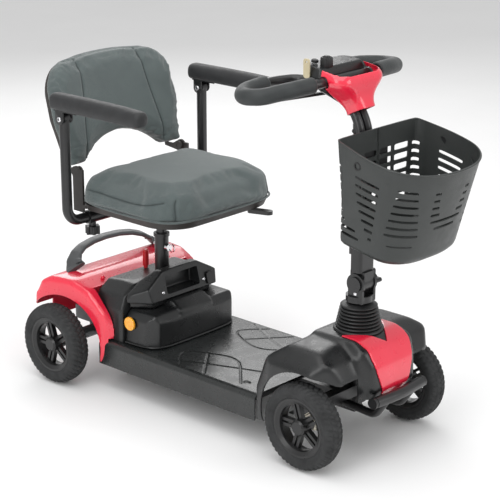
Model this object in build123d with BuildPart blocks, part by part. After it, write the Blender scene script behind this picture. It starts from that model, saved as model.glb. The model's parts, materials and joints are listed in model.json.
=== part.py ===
from build123d import *
import math
import os

os.makedirs("parts", exist_ok=True)

# Four-wheel boot-size mobility scooter. The front is -Y, the rider's left is +X, +Z is up.
# The origin lies on the floor, under the middle of the whole object.

# ---- driving dimensions, mm ----
wheelbase = 778.0
front_axle_y = -311.7
rear_axle_y = front_axle_y + wheelbase
front_track = 371.0
rear_track = 440.0
side_names = (("left", 1), ("right", -1))

# wheels
wheel_r = 100.0
tyre_w = 52.0
rim_r = 68.5
rim_open_r = 53.0
rim_w = 42.0
hub_r = 18.5
spoke_pairs = 5
spoke_w = 7.0
spoke_gap = 5.0
spoke_t = 12.0
stub_r = 6.0
rear_axle_r = 8.5

# fits
running = 0.05
slide_fit = 0.1
joint_gap = 0.4
seat_gap = 0.3

# front steering
kingpin_x = 140.0
kingpin_r = 8.0
housing_r = 15.0
knuckle_bottom_z = wheel_r - 20.0
knuckle_top_z = wheel_r + 12.0
housing_top_z = knuckle_top_z + 48.0
arm_t = 8.0
arm_back = 45.0
arm_out = 10.0
arm_w = 12.0
rod_t = 6.0
ball_pin_r = 4.0
stem_r = 12.0
head_tube_r = 20.0
head_tube_bore_r = 16.0
head_tube_low_z = knuckle_bottom_z + 24.0
head_tube_top_z = 190.0
bearing_h = 10.0

# frame
beam_h = 26.0
beam_z = knuckle_top_z + 23.0
spine_w = 40.0
spine_h = 20.0
spine_bottom_z = wheel_r
rail_x = 75.0
rail_w = 22.0
axle_tube_r = 15.0
axle_tube_end_x = 186.0

# deck
deck_front_y = front_axle_y + 153.0
deck_rear_y = rear_axle_y - 109.0
deck_half_w = 176.0
deck_top_z = spine_bottom_z + 25.0
skirt_bottom_z = 63.0
shell_wall = 3.5
deck_edge_r = 12.0
rib_h = 1.5
rib_w = 4.0

# front shroud
fender_half_w = 201.0
front_arch_r = wheel_r + 26.0
shroud_top_z = 273.0
nose_half_w = 92.0
nose_y = front_axle_y - 104.0
boot_base_r = 54.0
boot_top_r = 39.0
boot_base_z = 278.0
boot_top_z = 341.0
boot_wall = 3.0
boot_pleats = 6
pleat_depth = 6.0

# bumper
bumper_y = front_axle_y - 122.0
bumper_z = 155.0
bumper_half_w = 81.0
bumper_r = 12.5
bumper_support_x = 45.0
bumper_support_r = 9.0
plug_len = 8.0

# tiller
fold_y = front_axle_y - 7.0
fold_z = 387.0
fold_pin_r = 6.0
tongue_half_w = 16.5
cheek_t = 7.0
fold_boss_r = 24.0
tiller_tube_r = 10.5
tiller_tube_x = 12.5
tiller_low_z = 420.0
tiller_bend_z = 735.0
tiller_bend_y = front_axle_y - 6.0
bar_y = front_axle_y + 49.0
bar_z = 838.0
bar_tube_r = 11.0
grip_r = 18.0
head_split_y = front_axle_y + 58.0
key_x = -78.0
key_y = front_axle_y + 92.0
key_z = 850.0
key_shank_r = 3.0

# basket
basket_rim_rear_y = front_axle_y - 40.0
basket_rim_rear_z = 742.0
basket_rim_tilt = 13.8
basket_floor_rear_y = front_axle_y - 46.0
basket_floor_rear_z = 510.0
basket_floor_tilt = 10.8
basket_wall = 3.0
basket_slot_h = 8.0

# seat post
post_y = rear_axle_y - 154.0
post_outer_r = 17.5
post_inner_r = 12.5
post_outer_top_z = 368.0
post_travel_up = 50.0
post_travel_down = 25.0
pin_r = 4.0
pin_z = 334.0

# seat
seat_front_y = post_y - 235.0
seat_rear_y = post_y + 92.0
seat_half_w = 197.0
cushion_bottom_z = 468.0
cushion_top_z = 535.0
shell_bottom_z = 452.0
seat_plate_t = 6.0
hinge_y = post_y + 106.0
hinge_z = 538.0
back_lean = 15.0
back_height = 278.0
back_pad_t = 34.0
back_shell_t = 10.0
back_curve = 24.0

# arms
arm_y = post_y + 82.0
arm_x = seat_half_w + 33.0
arm_tube_r = 12.5
arm_cross_z = 428.0
arm_pivot_z = 682.0
receiver_r = 16.5
receiver_end_x = 170.0
arm_knob_x = 152.0
pad_half_w = 23.0
pad_t = 28.0
pad_bottom_z = 713.0
pad_front_y = post_y - 190.0
pad_rear_y = post_y + 120.0

# battery pack
battery_front_y = rear_axle_y - 277.0
battery_rear_y = rear_axle_y - 174.8
battery_half_w = 150.0
battery_split_z = 210.0
battery_bottom_z = deck_top_z + seat_gap
hood_bottom_z = 227.0
hood_top_z = 297.0
hood_front_y = rear_axle_y - 235.0
hood_lean = 14.4
socket_x = 92.0
socket_z = 246.0
socket_r = 8.0
flap_t = 3.0
flap_barrel_r = 1.5

# rear shroud
rear_arch_r = wheel_r + 18.0
rear_half_w = 246.0
cover_half_w = 159.6
cover_rear_y = rear_axle_y - 78.5
lever_y = rear_axle_y - 96.0
lever_pivot_z = 236.0


def yz_plane(x=0.0):
    """A sketch plane whose first axis is +Y and whose second is +Z, at one x."""
    return Plane(origin=(x, 0, 0), x_dir=(0, 1, 0), z_dir=(1, 0, 0))


def xz_plane(y=0.0):
    """A sketch plane whose first axis is +X and whose second is +Z, at one y."""
    return Plane(origin=(0, y, 0), x_dir=(1, 0, 0), z_dir=(0, -1, 0))


def round_tube(points, radii, outer_r, inner_r=0.0):
    """A round bar or tube along straight runs joined by tangent arcs."""
    with BuildPart() as tube:
        with BuildLine() as route:
            FilletPolyline(*points, radius=radii)
        with BuildSketch(Plane(origin=route.line @ 0, z_dir=route.line % 0)):
            Circle(outer_r)
            if inner_r > 0:
                Circle(inner_r, mode=Mode.SUBTRACT)
        sweep(path=route.line)
    return tube.part


def three_view_form(side, front, plan, inset=0.0):
    """A moulded form: a side outline, a front outline and a plan outline that cut each other.

    Each outline is (points, corner radius); inset draws all three inwards by one wall.
    """
    with BuildPart() as form:
        planes = (yz_plane(), xz_plane(), Plane.XY)
        modes = (Mode.ADD, Mode.INTERSECT, Mode.INTERSECT)
        for outline, plane, mode in zip((side, front, plan), planes, modes):
            points, radius = outline
            with BuildSketch(plane) as flat:
                with BuildLine():
                    Polyline(*points, close=True)
                make_face()
                fillet(flat.vertices(), radius)
                if inset > 0:
                    offset(amount=-inset, kind=Kind.INTERSECTION, mode=Mode.REPLACE)
            extrude(amount=700, both=True, mode=mode)
    return form.part


def slot_between(start, end, width):
    """A plate outline with round ends on two points of the current sketch."""
    middle = ((start[0] + end[0]) / 2, (start[1] + end[1]) / 2)
    angle = math.degrees(math.atan2(end[1] - start[1], end[0] - start[0]))
    with Locations(middle):
        SlotCenterToCenter(math.dist(start, end), width, rotation=angle)


def mirrored(points):
    """A closed outline that is the same on both sides of x = 0."""
    return list(points) + [(-x, y) for x, y in reversed(points)]


# ---- wheels ----
def wheel_plane(x, y):
    """A half-section plane of a wheel: the axle is the first axis, the radius the second."""
    return Plane(origin=(x, y, wheel_r), x_dir=(1, 0, 0), z_dir=(0, 0, 1))


def make_tyre(x, y):
    """A solid rubber tyre with a crowned tread and two shallow grooves."""
    half = tyre_w / 2
    bead = rim_w / 2
    with BuildPart() as tyre:
        with BuildSketch(wheel_plane(x, y)):
            with BuildLine():
                Line((-bead, rim_r), (bead, rim_r))
                Spline((bead, rim_r), (half - 1.5, rim_r + 5), (half, rim_r + 14), (half - 3, wheel_r - 8))
                ThreePointArc((half - 3, wheel_r - 8), (0, wheel_r), (3 - half, wheel_r - 8))
                Spline((3 - half, wheel_r - 8), (-half, rim_r + 14), (1.5 - half, rim_r + 5), (-bead, rim_r))
            make_face()
            with Locations((-9, wheel_r - 1), (9, wheel_r - 1)):
                Rectangle(3, 5, mode=Mode.SUBTRACT)
        revolve(axis=Axis((x, y, wheel_r), (1, 0, 0)))
    return tyre.part


def make_rim(x, y, out, hub_in, bore_r, cap_u):
    """A five-spoke rim: thick ring, paired spokes, hub with its bore and a domed cap."""
    ring = rim_w / 2
    face = 16.0
    spoke_face = 9.0
    axle = Axis((x, y, wheel_r), (1, 0, 0))
    with BuildPart() as rim:
        with BuildSketch(wheel_plane(x, y)):
            with BuildLine():
                Polyline(
                    (out * ring, rim_r),
                    (out * ring, rim_r - 5),
                    (out * face, rim_open_r + 2),
                    (out * (face - 6), rim_open_r),
                    (-out * (face - 2), rim_open_r + 4),
                    (-out * ring, rim_r - 4),
                    (-out * ring, rim_r),
                    close=True,
                )
            make_face()
        revolve(axis=axle)
        with BuildSketch(wheel_plane(x, y)):
            with BuildLine():
                Polyline(
                    (-out * hub_in, 0),
                    (-out * hub_in, hub_r - 4),
                    (out * 2, hub_r),
                    (out * cap_u, hub_r),
                    (out * (cap_u + 4), hub_r - 4),
                    (out * (cap_u + 4), 0),
                    close=True,
                )
            make_face()
        revolve(axis=axle)
        spoke_plane = Plane(origin=(x + out * spoke_face, y, wheel_r), x_dir=(0, 1, 0), z_dir=(out, 0, 0))
        with BuildSketch(spoke_plane):
            with PolarLocations(0, spoke_pairs):
                for shift in (-1, 1):
                    with Locations((36, shift * (spoke_w + spoke_gap) / 2)):
                        Rectangle(42, spoke_w)
            Circle(hub_r - 3, mode=Mode.SUBTRACT)
        extrude(amount=-spoke_t)
        if bore_r > 0:
            bore_start = x - out * hub_in
            with BuildSketch(Plane(origin=(bore_start, y, wheel_r), x_dir=(0, 1, 0), z_dir=(out, 0, 0))):
                Circle(bore_r)
            extrude(amount=hub_in + cap_u - 4, mode=Mode.SUBTRACT)
    return rim.part


front_wheel_x = front_track / 2
rear_wheel_x = rear_track / 2
stub_end_u = 14.0
for side, out in side_names:
    rim_part = make_rim(out * front_wheel_x, front_axle_y, out, 22.0, stub_r + running, 18.0)
    rim_part.label = f"front_rim_{side}"
    export_step(rim_part, f"parts/front_rim_{side}.step")
    tyre_part = make_tyre(out * front_wheel_x, front_axle_y)
    tyre_part.label = f"front_tyre_{side}"
    export_step(tyre_part, f"parts/front_tyre_{side}.step")
    rear_tyre_part = make_tyre(out * rear_wheel_x, rear_axle_y)
    rear_tyre_part.label = f"rear_tyre_{side}"
    export_step(rear_tyre_part, f"parts/rear_tyre_{side}.step")
    rear_rim_part = make_rim(out * rear_wheel_x, rear_axle_y, out, 26.0, 0.0, 18.0)
    shaft_in_x = 60.0
    shaft_out_x = rear_wheel_x - 26.0
    with BuildPart() as rear_rim:
        add(rear_rim_part)
        with BuildSketch(yz_plane(out * shaft_in_x)):
            with Locations((rear_axle_y, wheel_r)):
                Circle(rear_axle_r)
        extrude(amount=out * (shaft_out_x - shaft_in_x))
    rear_rim.part.label = f"rear_rim_{side}"
    export_step(rear_rim.part, f"parts/rear_rim_{side}.step")

# ---- front steering: knuckles, tie rods and stem ----
rod_z = knuckle_bottom_z + arm_t + joint_gap
for side, out in side_names:
    kx = out * kingpin_x
    arm_x_end = kx + out * arm_out
    arm_y_end = front_axle_y + arm_back
    with BuildPart() as knuckle:
        with BuildSketch(Plane.XY.offset(knuckle_bottom_z)):
            with Locations((kx, front_axle_y)):
                Circle(housing_r - 1)
        extrude(amount=knuckle_top_z - knuckle_bottom_z)
        with BuildSketch(Plane.XY.offset(knuckle_top_z)):
            with Locations((kx, front_axle_y)):
                Circle(kingpin_r)
        extrude(amount=housing_top_z - knuckle_top_z + 4)
        with BuildSketch(Plane.XY.offset(housing_top_z + 1.5)):
            with Locations((kx, front_axle_y)):
                RegularPolygon(kingpin_r + 4, 6)
        extrude(amount=9)
        with BuildSketch(Plane.XY.offset(knuckle_bottom_z)):
            slot_between((kx, front_axle_y), (arm_x_end, arm_y_end), arm_w)
        extrude(amount=arm_t)
        with BuildSketch(Plane.XY.offset(knuckle_bottom_z + arm_t)):
            with Locations((arm_x_end, arm_y_end)):
                Circle(ball_pin_r)
        extrude(amount=rod_t + 2)
        with BuildSketch(yz_plane(kx)):
            with Locations((front_axle_y, wheel_r)):
                Circle(stub_r)
        extrude(amount=out * (front_wheel_x - kingpin_x + stub_end_u))
        with BuildSketch(yz_plane(kx)):
            with Locations((front_axle_y, wheel_r)):
                Circle(stub_r + 4)
        extrude(amount=out * (front_wheel_x - kingpin_x - 22.5))
    knuckle.part.label = f"steering_knuckle_{side}"
    export_step(knuckle.part, f"parts/steering_knuckle_{side}.step")

    with BuildPart() as tie_rod:
        with BuildSketch(Plane.XY.offset(rod_z)):
            with Locations((arm_x_end, arm_y_end), (out * arm_out, arm_y_end)):
                Circle(8)
            with Locations(((arm_x_end + out * arm_out) / 2, arm_y_end)):
                Rectangle(kingpin_x, 8)
            with Locations((arm_x_end, arm_y_end), (out * arm_out, arm_y_end)):
                Circle(ball_pin_r + running, mode=Mode.SUBTRACT)
        extrude(amount=rod_t)
        fillet(tie_rod.edges().filter_by(Axis.X).group_by(SortBy.LENGTH)[-1], 2.0)
    tie_rod.part.label = f"tie_rod_{side}"
    export_step(tie_rod.part, f"parts/tie_rod_{side}.step")

stem_collar_z = boot_top_z + 3
with BuildPart() as steering_stem:
    with BuildSketch(Plane.XY.offset(knuckle_bottom_z)):
        with Locations((0, front_axle_y)):
            Circle(stem_r)
    extrude(amount=stem_collar_z - knuckle_bottom_z)
    with BuildSketch(Plane.XY.offset(knuckle_bottom_z)):
        with Locations((0, front_axle_y + arm_back / 2)):
            Rectangle(2 * (arm_out + arm_w / 2), arm_back + arm_w)
    extrude(amount=arm_t)
    with BuildSketch(Plane.XY.offset(knuckle_bottom_z + arm_t)):
        with Locations((arm_out, front_axle_y + arm_back), (-arm_out, front_axle_y + arm_back)):
            Circle(ball_pin_r)
    extrude(amount=rod_t + 2)
    with BuildSketch(Plane.XY.offset(head_tube_top_z + joint_gap)):
        with Locations((0, front_axle_y)):
            Circle(stem_r + 5)
    extrude(amount=10)
    with BuildSketch(Plane.XY.offset(stem_collar_z)):
        with Locations((0, front_axle_y)):
            Circle(30)
    extrude(amount=14)
    with BuildSketch(yz_plane(-(tongue_half_w + joint_gap + cheek_t))):
        with Locations((fold_y, fold_z)):
            Circle(fold_boss_r)
        with Locations((fold_y, (fold_z + stem_collar_z) / 2)):
            Rectangle(40, fold_z - stem_collar_z)
    extrude(amount=2 * (tongue_half_w + joint_gap + cheek_t))
    tongue_room = tongue_half_w + joint_gap
    with BuildSketch(yz_plane(-tongue_room)):
        with Locations((fold_y, fold_z + 20)):
            Rectangle(2 * fold_boss_r + 10, 2 * (fold_boss_r + 20) + 8)
    extrude(amount=2 * tongue_room, mode=Mode.SUBTRACT)
    with BuildSketch(yz_plane(-(tongue_room + cheek_t))):
        with Locations((fold_y, fold_z)):
            Circle(fold_pin_r)
    extrude(amount=2 * (tongue_room + cheek_t))
    with BuildSketch(yz_plane(-(tongue_room + cheek_t))):
        with Locations((fold_y, fold_z)):
            Circle(fold_boss_r - 7)
    extrude(amount=-4)
    with BuildSketch(yz_plane(tongue_room + cheek_t)):
        with Locations((fold_y, fold_z)):
            Circle(fold_pin_r - 1)
    extrude(amount=16)
steering_stem.part.label = "steering_stem"
export_step(steering_stem.part, "parts/steering_stem.step")

with BuildPart() as stem_bearings:
    for low_z in (head_tube_low_z, head_tube_top_z - bearing_h):
        with BuildSketch(Plane.XY.offset(low_z)):
            with Locations((0, front_axle_y)):
                Circle(head_tube_bore_r)
                Circle(stem_r + running, mode=Mode.SUBTRACT)
        extrude(amount=bearing_h)
stem_bearings.part.label = "stem_bearings"
export_step(stem_bearings.part, "parts/stem_bearings.step")

# ---- main frame ----
spine_end_y = rear_axle_y - 90.0
cross_y = post_y
with BuildPart() as main_frame:
    with Locations((0, front_axle_y, beam_z)):
        Box(2 * (kingpin_x - 8), beam_h, beam_h)
    with Locations((kingpin_x, front_axle_y, 0), (-kingpin_x, front_axle_y, 0)):
        with Locations((0, 0, (knuckle_top_z + joint_gap + housing_top_z) / 2)):
            Cylinder(housing_r, housing_top_z - knuckle_top_z - joint_gap)
    with BuildSketch(Plane.XY.offset(head_tube_low_z)):
        with Locations((0, front_axle_y)):
            Circle(head_tube_r)
    extrude(amount=head_tube_top_z - head_tube_low_z)
    spine_start_y = front_axle_y + head_tube_bore_r + 0.5
    with Locations((0, (spine_start_y + spine_end_y) / 2, spine_bottom_z + spine_h / 2)):
        Box(spine_w, spine_end_y - spine_start_y, spine_h)
    with Locations((0, spine_start_y + 30, spine_bottom_z + spine_h + 14)):
        Box(12, 60, 30)
    for rail_y in (deck_front_y + 30, (deck_front_y + battery_front_y) / 2, cross_y):
        with Locations((0, rail_y, spine_bottom_z + spine_h / 2)):
            Box(300, 25, spine_h)
    with Locations((rail_x, 0, 0), (-rail_x, 0, 0)):
        with Locations((0, (cross_y + rear_axle_y + 24) / 2, spine_bottom_z + spine_h / 2 - 2)):
            Box(rail_w, rear_axle_y + 24 - cross_y, spine_h + 4)
    with BuildSketch(Plane.XY.offset(spine_bottom_z)):
        with Locations((0, post_y)):
            Circle(post_outer_r)
    extrude(amount=post_outer_top_z - spine_bottom_z)
    with BuildSketch(Plane.XY.offset(post_outer_top_z - 8)):
        with Locations((0, post_y)):
            Circle(post_outer_r + 2.5)
    extrude(amount=8)
    with Locations((0, front_axle_y, 0)):
        with Locations((0, 0, beam_z)):
            Cylinder(head_tube_bore_r, 200, mode=Mode.SUBTRACT)
    with Locations((kingpin_x, front_axle_y, beam_z), (-kingpin_x, front_axle_y, beam_z)):
        Cylinder(kingpin_r + running, 100, mode=Mode.SUBTRACT)
    with Locations((0, post_y, spine_bottom_z + 400)):
        Cylinder(post_inner_r + slide_fit, 780, mode=Mode.SUBTRACT)
    with Locations((0, post_y, pin_z)):
        Cylinder(pin_r + slide_fit, 60, rotation=(90, 0, 0), mode=Mode.SUBTRACT)
    with Locations((0, rear_axle_y, wheel_r)):
        Cylinder(axle_tube_r + 0.2, 400, rotation=(0, 90, 0), mode=Mode.SUBTRACT)
    with BuildSketch(yz_plane(-14)):
        with Locations((lever_y, lever_pivot_z)):
            Circle(3)
    extrude(amount=28)
    lever_foot_z = spine_bottom_z + spine_h
    for out in (1, -1):
        with Locations((out * 11, lever_y, (lever_pivot_z + 6 + lever_foot_z) / 2)):
            Box(6, 18, lever_pivot_z + 6 - lever_foot_z)
main_frame.part.label = "main_frame"
export_step(main_frame.part, "parts/main_frame.step")

# ---- transaxle, motor and controller ----
case_half_w = 30.0
motor_y = rear_axle_y - 41.0
motor_z = 158.0
with BuildPart() as transaxle:
    with BuildSketch(yz_plane(-case_half_w)):
        slot_between((rear_axle_y, wheel_r), (motor_y, motor_z), 68)
    extrude(amount=2 * case_half_w)
    fillet(transaxle.edges().filter_by(GeomType.CIRCLE), 4)
    for out in (1, -1):
        with BuildSketch(yz_plane(out * case_half_w)):
            with Locations((rear_axle_y, wheel_r)):
                Circle(axle_tube_r)
        extrude(amount=out * (axle_tube_end_x - case_half_w))
    with Locations((0, rear_axle_y, wheel_r)):
        Cylinder(rear_axle_r + running, 400, rotation=(0, 90, 0), mode=Mode.SUBTRACT)
transaxle.part.label = "transaxle"
export_step(transaxle.part, "parts/transaxle.step")

motor_len = 112.0
with BuildPart() as drive_motor:
    with BuildSketch(yz_plane(case_half_w)):
        with Locations((motor_y, motor_z)):
            Circle(32)
    extrude(amount=motor_len - 24)
    with BuildSketch(yz_plane(case_half_w + motor_len - 24)):
        with Locations((motor_y, motor_z)):
            Circle(26)
    extrude(amount=24)
    chamfer(drive_motor.edges().filter_by(GeomType.CIRCLE).sort_by(Axis.X)[-1], 3)
drive_motor.part.label = "drive_motor"
export_step(drive_motor.part, "parts/drive_motor.step")

with BuildPart() as controller:
    with Locations((-92, rear_axle_y - 20, 160)):
        Box(100, 70, 34)
    fillet(controller.edges().filter_by(Axis.Z), 5)
    with Locations((-92, rear_axle_y - 20, 178)):
        with GridLocations(14, 1, 6, 1):
            Box(3, 66, 8)
controller.part.label = "controller"
export_step(controller.part, "parts/controller.step")

# ---- floor deck ----
deck_len = deck_rear_y - deck_front_y
with BuildPart() as floor_deck:
    with BuildSketch(xz_plane(deck_front_y)) as deck_outside:
        with Locations((0, (deck_top_z + skirt_bottom_z) / 2)):
            Rectangle(2 * deck_half_w, deck_top_z - skirt_bottom_z)
        fillet(deck_outside.vertices().group_by(Axis.Y)[-1], deck_edge_r)
    extrude(amount=-deck_len)
    with BuildSketch(xz_plane(deck_front_y - 1)) as deck_inside:
        with Locations((0, (deck_top_z + skirt_bottom_z) / 2 - shell_wall)):
            Rectangle(2 * (deck_half_w - shell_wall), deck_top_z - skirt_bottom_z)
        fillet(deck_inside.vertices().group_by(Axis.Y)[-1], deck_edge_r - shell_wall)
    extrude(amount=-deck_len - 2, mode=Mode.SUBTRACT)
    with Locations((0, post_y, deck_top_z)):
        Cylinder(post_outer_r + 1, 30, mode=Mode.SUBTRACT)
    rib_front = deck_front_y + 50
    rib_rear = battery_front_y - 12
    with BuildSketch(Plane.XY.offset(deck_top_z - 0.5)):
        with Locations((0, (rib_front + rib_rear) / 2)):
            RectangleRounded(2 * deck_half_w - 60, rib_rear - rib_front, 26)
            inner_frame_w = 2 * deck_half_w - 60 - 2 * rib_w
            RectangleRounded(inner_frame_w, rib_rear - rib_front - 2 * rib_w, 22, mode=Mode.SUBTRACT)
        for slope in (1, -1):
            with Locations((0, (rib_front + rib_rear) / 2)):
                with GridLocations(1, 92, 1, 3):
                    Rectangle(270, rib_w, rotation=slope * 24)
    extrude(amount=rib_h + 0.5)
floor_deck.part.label = "floor_deck"
export_step(floor_deck.part, "parts/floor_deck.step")

# ---- front shroud with its boot, panel and bumper ----
fa = front_axle_y
fender_side = (
    [
        (fa - 72, 205),
        (fa - 60, 244),
        (fa - 20, 268),
        (fa + 60, 272),
        (fa + 104, 240),
        (fa + 152.5, 150),
        (fa + 152.5, 66),
        (fa + 96, 66),
        (fa + 60, 190),
    ],
    6,
)
fender_front = (mirrored([(fender_half_w, 60), (fender_half_w, 230), (150, 270), (70, shroud_top_z)]), 14)
fender_plan = (
    mirrored(
        [
            (deck_half_w + 1, deck_front_y),
            (fender_half_w, fa + 90),
            (fender_half_w, fa - 30),
            (160, fa - 72),
        ]
    ),
    12,
)
nose_side = (
    [
        (fa - 92, 148),
        (nose_y, 172),
        (fa - 98, 225),
        (fa - 84, 260),
        (fa - 55, 277),
        (fa + 62, 277),
        (fa + 62, 150),
    ],
    7,
)
nose_front = (mirrored([(40, 140), (nose_half_w - 6, 170), (nose_half_w, 240), (nose_half_w - 14, 278)]), 8)
nose_plan = (mirrored([(nose_half_w, fa + 60), (nose_half_w, fa - 80), (nose_half_w - 16, nose_y - 1)]), 12)
fender_outer = three_view_form(fender_side, fender_front, fender_plan)
fender_inner = three_view_form(fender_side, fender_front, fender_plan, shell_wall)
nose_outer = three_view_form(nose_side, nose_front, nose_plan)
nose_inner = three_view_form(nose_side, nose_front, nose_plan, shell_wall)
with BuildPart() as front_shroud:
    add(fender_outer)
    add(nose_outer)
    add(fender_inner, mode=Mode.SUBTRACT)
    add(nose_inner, mode=Mode.SUBTRACT)
    with Locations((150 + 60, fa, wheel_r), (-150 - 60, fa, wheel_r)):
        Cylinder(front_arch_r, 212, rotation=(0, 90, 0), mode=Mode.SUBTRACT)
    with Locations((0, fa + 30, 110)):
        Box(2 * (deck_half_w - 10), 300, 90, mode=Mode.SUBTRACT)
    with Locations((0, fa, 270)):
        Cylinder(boot_top_r, 60, mode=Mode.SUBTRACT)
front_shroud.part.label = "front_shroud"
export_step(front_shroud.part, "parts/front_shroud.step")

panel_t = 4.0
with BuildPart() as front_panel:
    with BuildSketch(yz_plane()):
        with BuildLine():
            Polyline(
                (fa - 94, 149),
                (nose_y - 1, 171),
                (fa - 99, 226),
                (fa - 84.5, 262),
                (fa - 56, 278.2),
                (fa - 8, 278.2),
                (fa - 8, 278.2 + panel_t),
                (fa - 57, 278.2 + panel_t),
                (fa - 88, 265),
                (fa - 103, 227),
                (nose_y - 1 - panel_t, 171),
                (fa - 97, 146),
                close=True,
            )
        make_face()
    extrude(amount=100, both=True)
    with BuildSketch(Plane.XY.offset(140)):
        with BuildLine():
            Polyline(*mirrored([(84, fa - 8), (80, fa - 70), (52, fa - 96), (30, fa - 120)]), close=True)
        make_face()
    extrude(amount=200, mode=Mode.INTERSECT)
    with BuildSketch(xz_plane()):
        with BuildLine():
            Polyline(*mirrored([(20, 146), (50, 176), (72, 225), (74, 300)]), close=True)
        make_face()
    extrude(amount=600, both=True, mode=Mode.INTERSECT)
    with BuildSketch(Plane.XY.offset(200)):
        with Locations((0, fa)):
            Circle(76)
    extrude(amount=120, mode=Mode.SUBTRACT)
front_panel.part.label = "front_panel"
export_step(front_panel.part, "parts/front_panel.step")

with BuildPart() as front_bumper:
    bar_right = (-bumper_half_w, bumper_y + 6, bumper_z)
    bar_left = (bumper_half_w, bumper_y + 6, bumper_z)
    add(round_tube([bar_right, (0, bumper_y - 2, bumper_z), bar_left], 260, bumper_r))
    for out in (1, -1):
        sx = out * bumper_support_x
        low_z = beam_z - beam_h / 2 - bumper_support_r
        support = [(sx, fa, low_z), (sx, fa - 88, low_z - 6), (sx, bumper_y, bumper_z)]
        add(round_tube(support, 26, bumper_support_r))
        with Locations((out * (bumper_half_w + plug_len / 2 + 1.5), bumper_y + 7, bumper_z)):
            Cylinder(bumper_r, plug_len, rotation=(0, 90, 0))
front_bumper.part.label = "front_bumper"
export_step(front_bumper.part, "parts/front_bumper.step")

pleat_h = (boot_top_z - boot_base_z - 6) / boot_pleats


def boot_outline(inset):
    """The boot's pleated side from its base to its top, as radius and height."""
    points = [(boot_base_r + 3 - inset, boot_base_z), (boot_base_r + 3 - inset, boot_base_z + 4)]
    for pleat in range(boot_pleats):
        share = pleat / (boot_pleats - 1)
        crest = boot_base_r + (boot_top_r - boot_base_r) * share - inset
        low = boot_base_z + 4 + pleat * pleat_h
        points.append((crest - pleat_depth, low + 0.15 * pleat_h))
        points.append((crest, low + 0.5 * pleat_h))
        points.append((crest - pleat_depth, low + 0.95 * pleat_h))
    points += [(boot_top_r - 6 - inset, boot_top_z - inset * 0.5)]
    return points


with BuildPart() as steering_boot:
    with BuildSketch(Plane(origin=(0, fa, 0), x_dir=(1, 0, 0), z_dir=(0, -1, 0))):
        with BuildLine():
            boot_side = boot_outline(0)
            boot_inside = list(reversed(boot_outline(boot_wall)))
            hole = (stem_r + 1.5, boot_top_z - boot_wall)
            Polyline(*boot_side, (stem_r + 1.5, boot_top_z), hole, *boot_inside, close=True)
        make_face()
    revolve(axis=Axis((0, fa, 0), (0, 0, 1)))
steering_boot.part.label = "steering_boot"
export_step(steering_boot.part, "parts/steering_boot.step")

# ---- rear shroud, rear cover, reflectors, handle, freewheel lever ----
ra = rear_axle_y
tail_y = ra + 88
rear_side = (
    [
        (ra - 114, 64),
        (ra - 160, 150),
        (ra - 132, 190),
        (ra - 84, 240),
        (ra - 30, 263),
        (ra + 30, 266),
        (ra + 66, 246),
        (tail_y, 205),
        (ra + 84, 108),
        (ra + 40, 96),
        (ra, 64),
    ],
    7,
)
rear_front_view = (
    mirrored(
        [
            (deck_half_w - 6, 40),
            (deck_half_w + 6, 100),
            (rear_half_w, 170),
            (rear_half_w, 222),
            (198, 262),
            (90, 267),
        ]
    ),
    12,
)
rear_plan = (
    mirrored(
        [
            (deck_half_w - 4, ra - 166),
            (deck_half_w + 2, ra - 126),
            (rear_half_w, ra - 62),
            (rear_half_w, ra + 52),
            (214, tail_y + 1),
        ]
    ),
    16,
)
rear_outer = three_view_form(rear_side, rear_front_view, rear_plan)
rear_inner = three_view_form(rear_side, rear_front_view, rear_plan, shell_wall)
with BuildPart() as rear_shroud:
    add(rear_outer)
    add(rear_inner, mode=Mode.SUBTRACT)
    with Locations((150 + 60, ra, wheel_r), (-150 - 60, ra, wheel_r)):
        Cylinder(rear_arch_r, 120, rotation=(0, 90, 0), mode=Mode.SUBTRACT)
    with Locations((0, ra - 20, 80)):
        Box(2 * (deck_half_w - 8), 240 - 14, 92, mode=Mode.SUBTRACT)
    with Locations((0, ra - 78 - 60, 200)):
        Box(2 * (cover_half_w + joint_gap), 120, 300, mode=Mode.SUBTRACT)
    with Locations((0, deck_rear_y - 60, 0)):
        Box(2 * (deck_half_w + joint_gap), 121, 2 * (deck_top_z + joint_gap), mode=Mode.SUBTRACT)
rear_shroud.part.label = "rear_shroud"
export_step(rear_shroud.part, "parts/rear_shroud.step")

cover_front_y = battery_rear_y + joint_gap
cover_top_z = 265.0
cover_side = (
    [
        (cover_front_y, 100),
        (cover_front_y, cover_top_z + 3),
        (cover_rear_y, cover_top_z - 4),
        (cover_rear_y, 100),
    ],
    3,
)
cover_front = (mirrored([(cover_half_w, 90), (cover_half_w, 205), (146, 240), (108, 266), (60, 270)]), 10)
cover_plan = (mirrored([(cover_half_w, cover_rear_y + 20), (battery_half_w + 2, cover_front_y - 20)]), 3)
cover_outer = three_view_form(cover_side, cover_front, cover_plan)
cover_inner = three_view_form(cover_side, cover_front, cover_plan, shell_wall)
with BuildPart() as rear_cover:
    add(cover_outer)
    add(cover_inner, mode=Mode.SUBTRACT)
    with Locations((0, (cover_front_y + cover_rear_y) / 2, 50)):
        Box(400, 200, 2 * (deck_top_z + seat_gap - 50), mode=Mode.SUBTRACT)
    with Locations((0, post_y, 200)):
        Cylinder(post_outer_r + 1, 200, mode=Mode.SUBTRACT)
    with Locations((0, (lever_y - 10 + cover_rear_y + 1) / 2, 262)):
        Box(15, cover_rear_y + 1 - lever_y + 10, 40, mode=Mode.SUBTRACT)
rear_cover.part.label = "rear_cover"
export_step(rear_cover.part, "parts/rear_cover.step")

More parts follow.
